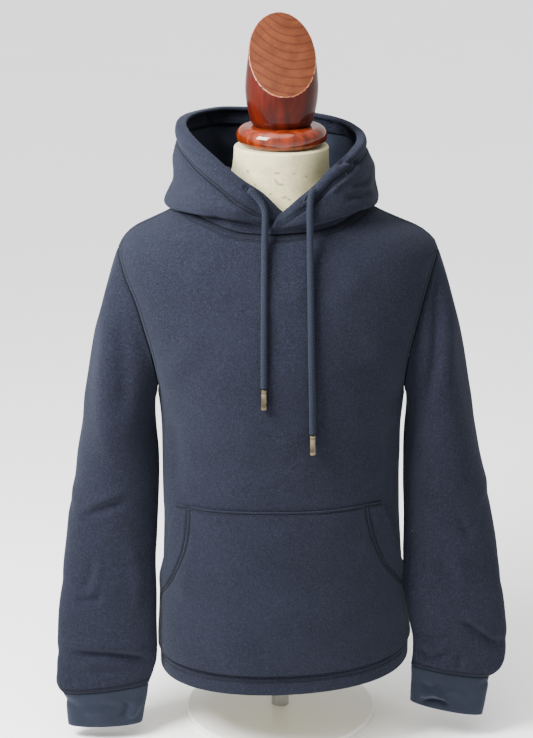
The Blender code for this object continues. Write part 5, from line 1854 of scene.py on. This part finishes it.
def outward_faces(piece):
    shape = bmesh.new()
    shape.from_mesh(piece.data)
    bmesh.ops.recalc_face_normals(shape, faces=shape.faces)
    shape.to_mesh(piece.data)
    shape.free()


def drawcords():
    for name, route in (("left", DRAWCORD_LEFT), ("right", DRAWCORD_RIGHT)):
        tip = aglet(name + "_cord_tip", route, "aglet_" + name)
        drawcord(name + "_drawcord", route)


# -------------------- dress form

SCUFFS = (                       # short dark marks on the canvas: middle x, z, half length, lean
    (-42, 775, 2.4, 80), (-6, 776, 4.2, 6), (15, 775, 1.6, 10), (-7, 766, 3.2, -55),
    (-2, 762, 4.4, -8), (-26, 748, 4.0, 8), (-14, 750, 2.0, 20), (3, 746, 3.4, 14),
    (9, 743, 2.4, -12), (-33, 760, 1.4, -10), (30, 770, 1.3, 0),
)


def form_body():
    heights = np.concatenate([np.linspace(FORM_BOTTOM, 640, 36), np.linspace(648, 706, 10),
                              np.arange(707.3, NECK_TOP - 3, 1.3)])
    angle, height = np.broadcast_arrays(np.arange(0, 360, 1.5), heights[:, None])
    ring = on_body(angle, height, -FORM_INSET.at(height).inset)
    ring[0, :, 2] = FORM_BOTTOM
    top = ring[-1]
    centre = top.mean(axis=0)
    rounded = []
    for lean in np.radians(np.linspace(0, 90, 9)):
        shrink = NECK_EDGE * (1 - math.cos(lean))
        row = centre + (top - centre) * (1 - shrink / NECK_RADIUS)
        row[:, 2] = mix(top[:, 2], NECK_TOP, math.sin(lean))
        rounded.append(row)
    ring = np.concatenate([ring[:-1], np.array(rounded)])
    rows, columns = ring.shape[:2]
    points = ring.reshape(-1, 3)
    faces = grid_faces(rows, columns, True, 0, False).tolist()
    faces.append(list(range(columns))[::-1])
    faces.append([(rows - 1) * columns + j for j in range(columns)])
    piece = add_piece("form_body", points, faces, ["sized_canvas"], sharp=50)
    mark = np.zeros(len(points))
    for x, z, half, lean in SCUFFS:
        run = np.array((math.cos(math.radians(lean)), math.sin(math.radians(lean))))
        away = points[:, (0, 2)] - (x, z)
        one, other = away @ run, away @ np.array((-run[1], run[0]))
        stroke = np.exp(-(one / half) ** 4 - (other / 1.05) ** 2) * (points[:, 1] < 0)
        mark = np.maximum(mark, 0.85 * stroke)
    mark_points(piece, "scuff", mark)
    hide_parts("form_torso")


def neck_ring():
    bottom, half = NECK_TOP + GAP, RING_HEIGHT / 2
    leans = np.radians(np.linspace(90, -90, 33))
    profile = [(RING_RADIUS - half + half * math.cos(lean), bottom + half + half * math.sin(lean))
               for lean in leans]
    piece = turned("neck_ring", profile, ["varnished_honey_beech"], "varnished_wood", steps=160)
    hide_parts("form_ring")


def neck_finial():
    """Turned block with a slanted sawn face, its corner paler."""
    heights = np.linspace(FINIAL_PROFILE.key[-1], FINIAL_PROFILE.key[0], 84)
    profile = [(float(FINIAL_PROFILE.at(h).radius), float(h)) for h in heights]
    piece = turned("neck_finial", profile,
                   ["varnished_stained_beech", "raw_sawn_beech", "pale_beech_edge"],
                   "varnished_wood", steps=160)
    turn = math.radians(CUT_TURN)
    slant = math.radians(CUT_ANGLE)
    normal = Vector((math.sin(slant) * math.sin(turn), -math.sin(slant) * math.cos(turn),
                     math.cos(slant)))
    shape = bmesh.new()
    shape.from_mesh(piece.data)
    cut = bmesh.ops.bisect_plane(shape, geom=[*shape.verts, *shape.edges, *shape.faces],
                                 plane_co=CUT_FRONT * MM, plane_no=normal, clear_outer=True)
    rim = [item for item in cut["geom_cut"] if isinstance(item, bmesh.types.BMEdge)]
    face = bmesh.ops.contextual_create(shape, geom=rim)["faces"][0]
    face.material_index = 1
    face.smooth = False
    edges = list(face.edges)
    bevelled = bmesh.ops.bevel(shape, geom=edges, offset=0.9 * MM, segments=3, profile=0.5,
                               affect="EDGES")
    for new in bevelled["faces"]:
        new.material_index = 2
        new.smooth = True
    bmesh.ops.recalc_face_normals(shape, faces=shape.faces)
    shape.to_mesh(piece.data)
    shape.free()
    piece.data.set_sharp_from_angle(angle=math.radians(40))
    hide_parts("form_finial")


def stand():
    base = [(BASE_RADIUS - 4, BASE_HEIGHT)]
    base += [(BASE_RADIUS - 3 + 3 * math.sin(lean), BASE_HEIGHT - 3 + 3 * math.cos(lean))
             for lean in np.radians(np.linspace(10, 90, 9))]
    base += [(BASE_RADIUS, 1.0), (BASE_RADIUS - 0.4, 0.3), (BASE_RADIUS - 1, 0.0)]
    piece = turned("stand_base", base, ["stoved_enamel"], "enamel", steps=180,
                   centre=(0.0, STAND_Y))
    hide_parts("form_base")
    top, bottom = FORM_BOTTOM - GAP, BASE_HEIGHT + GAP
    pole = [(POLE_RADIUS - 0.6, top), (POLE_RADIUS, top - 0.6), (POLE_RADIUS, bottom + 0.6),
            (POLE_RADIUS - 0.6, bottom)]
    piece = turned("stand_pole", pole, ["drawn_steel"], "steel", steps=72, centre=(0.0, STAND_Y))
    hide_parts("form_pole")


# -------------------- stage

def lamp(name, kind, energy, place, aim, **settings):
    light = bpy.data.lights.new(name, kind)
    light.energy = energy
    for key, value in settings.items():
        setattr(light, key, value)
    thing = bpy.data.objects.new(name, light)
    thing.location = place
    thing.visible_camera = False
    thing.rotation_euler = (Vector(aim) - Vector(place)).to_track_quat("-Z", "Y").to_euler()
    bpy.context.scene.collection.objects.link(thing)


def stage():
    mesh = bpy.data.meshes.new("floor")
    corners = [(x * FLOOR_REACH, y * FLOOR_REACH, 0)
               for x, y in ((-1, -1), (1, -1), (1, 1), (-1, 1))]
    mesh.from_pydata(corners, [], [(0, 1, 2, 3)])
    mesh.materials.append(finish("pale_floor"))
    floor = bpy.data.objects.new("floor", mesh)
    bpy.context.scene.collection.objects.link(floor)
    world = bpy.data.worlds.new("studio")
    world.use_nodes = True
    world.node_tree.nodes["Background"].inputs["Color"].default_value = (1, 1, 1, 1)
    world.node_tree.nodes["Background"].inputs["Strength"].default_value = 0.85
    bpy.context.scene.world = world
    lamp("ceiling", "SUN", 3.3, (-0.25, -0.35, 1.5), (0, 0, 0), angle=math.radians(60))
    lamp("window", "AREA", 88, (-0.85, -0.62, 1.42), (-0.05, 0, 0.72), size=0.6)
    view = bpy.data.cameras.new("camera")
    view.lens = CAMERA_LENS
    view.sensor_width = 36
    camera = bpy.data.objects.new("camera", view)
    camera.location = CAMERA_PLACE
    tilt = math.radians(CAMERA_TILT)
    aim = Vector((0, math.cos(tilt), -math.sin(tilt)))
    camera.rotation_euler = aim.to_track_quat("-Z", "Y").to_euler()
    bpy.context.scene.collection.objects.link(camera)
    bpy.context.scene.camera = camera


# -------------------- operators

class HOODIE_OT_stage(Operator):
    """Pale floor, soft studio lights and the camera"""
    bl_idname = "hoodie.stage"
    bl_label = "Studio"

    def execute(self, context):
        stage()
        return {"FINISHED"}


class HOODIE_OT_drawcords(Operator):
    """Braided drawcord ends with their metal tips"""
    bl_idname = "hoodie.drawcords"
    bl_label = "Drawcords"

    def execute(self, context):
        drawcords()
        return {"FINISHED"}


class HOODIE_OT_form_body(Operator):
    """Canvas-covered body of the dress form"""
    bl_idname = "hoodie.form_body"
    bl_label = "Form body"

    def execute(self, context):
        form_body()
        return {"FINISHED"}


class HOODIE_OT_neck_block(Operator):
    """Varnished ring and slanted wooden block on the form's neck"""
    bl_idname = "hoodie.neck_block"
    bl_label = "Neck block"

    def execute(self, context):
        neck_ring()
        neck_finial()
        return {"FINISHED"}


class HOODIE_OT_stand(Operator):
    """Enamelled foot and steel pole of the dress form"""
    bl_idname = "hoodie.stand"
    bl_label = "Stand"

    def execute(self, context):
        stand()
        return {"FINISHED"}


class HOODIE_OT_front_panel(Operator):
    """Front panel with its hem and stitching"""
    bl_idname = "hoodie.front_panel"
    bl_label = "Front panel"

    def execute(self, context):
        front_panel()
        return {"FINISHED"}


class HOODIE_OT_back_panel(Operator):
    """Back panel with its hem, stitching and neck tape"""
    bl_idname = "hoodie.back_panel"
    bl_label = "Back panel"

    def execute(self, context):
        back_panel()
        return {"FINISHED"}


class HOODIE_OT_sleeves(Operator):
    """Both sleeves with their creases"""
    bl_idname = "hoodie.sleeves"
    bl_label = "Sleeves"

    def execute(self, context):
        sleeves()
        return {"FINISHED"}


class HOODIE_OT_cuffs(Operator):
    """Both rib cuffs"""
    bl_idname = "hoodie.cuffs"
    bl_label = "Cuffs"

    def execute(self, context):
        cuffs()
        return {"FINISHED"}


class HOODIE_OT_pocket(Operator):
    """Kangaroo pocket with its two curved mouths"""
    bl_idname = "hoodie.pocket"
    bl_label = "Pocket"

    def execute(self, context):
        pocket()
        return {"FINISHED"}


class HOODIE_OT_hood(Operator):
    """Both halves of the hood, with the drawcord channel and buttonholes"""
    bl_idname = "hoodie.hood"
    bl_label = "Hood"

    def execute(self, context):
        hood()
        return {"FINISHED"}


class HOODIE_OT_hood_lining(Operator):
    """Jersey lining of the hood"""
    bl_idname = "hoodie.hood_lining"
    bl_label = "Hood lining"

    def execute(self, context):
        hood_lining()
        return {"FINISHED"}


OPERATORS = (
    HOODIE_OT_stage, HOODIE_OT_drawcords, HOODIE_OT_form_body, HOODIE_OT_neck_block,
    HOODIE_OT_stand, HOODIE_OT_front_panel, HOODIE_OT_back_panel, HOODIE_OT_sleeves,
    HOODIE_OT_cuffs, HOODIE_OT_pocket, HOODIE_OT_hood, HOODIE_OT_hood_lining,
)


class HOODIE_PT_panel(Panel):
    bl_idname = "HOODIE_PT_panel"
    bl_label = "Hoodie on a dress form"
    bl_space_type = "VIEW_3D"
    bl_region_type = "UI"
    bl_category = "Hoodie"

    def draw(self, context):
        for settings in (context.scene.hoodie_sizes, context.scene.hoodie_colours):
            box = self.layout.box()
            for name in settings.__annotations__:
                box.prop(settings, name)
        for operator in OPERATORS:
            self.layout.operator(operator.bl_idname)


CLASSES = (HoodieSizes, HoodieColours, *OPERATORS, HOODIE_PT_panel)


def register():
    for cls in CLASSES:
        bpy.utils.register_class(cls)
    bpy.types.Scene.hoodie_sizes = PointerProperty(type=HoodieSizes)
    bpy.types.Scene.hoodie_colours = PointerProperty(type=HoodieColours)


def unregister():
    del bpy.types.Scene.hoodie_colours
    del bpy.types.Scene.hoodie_sizes
    for cls in reversed(CLASSES):
        bpy.utils.unregister_class(cls)


def main():
    register()
    for operator in OPERATORS:
        getattr(bpy.ops.hoodie, operator.bl_idname.split(".")[1])()


if __name__ == "__main__":
    main()
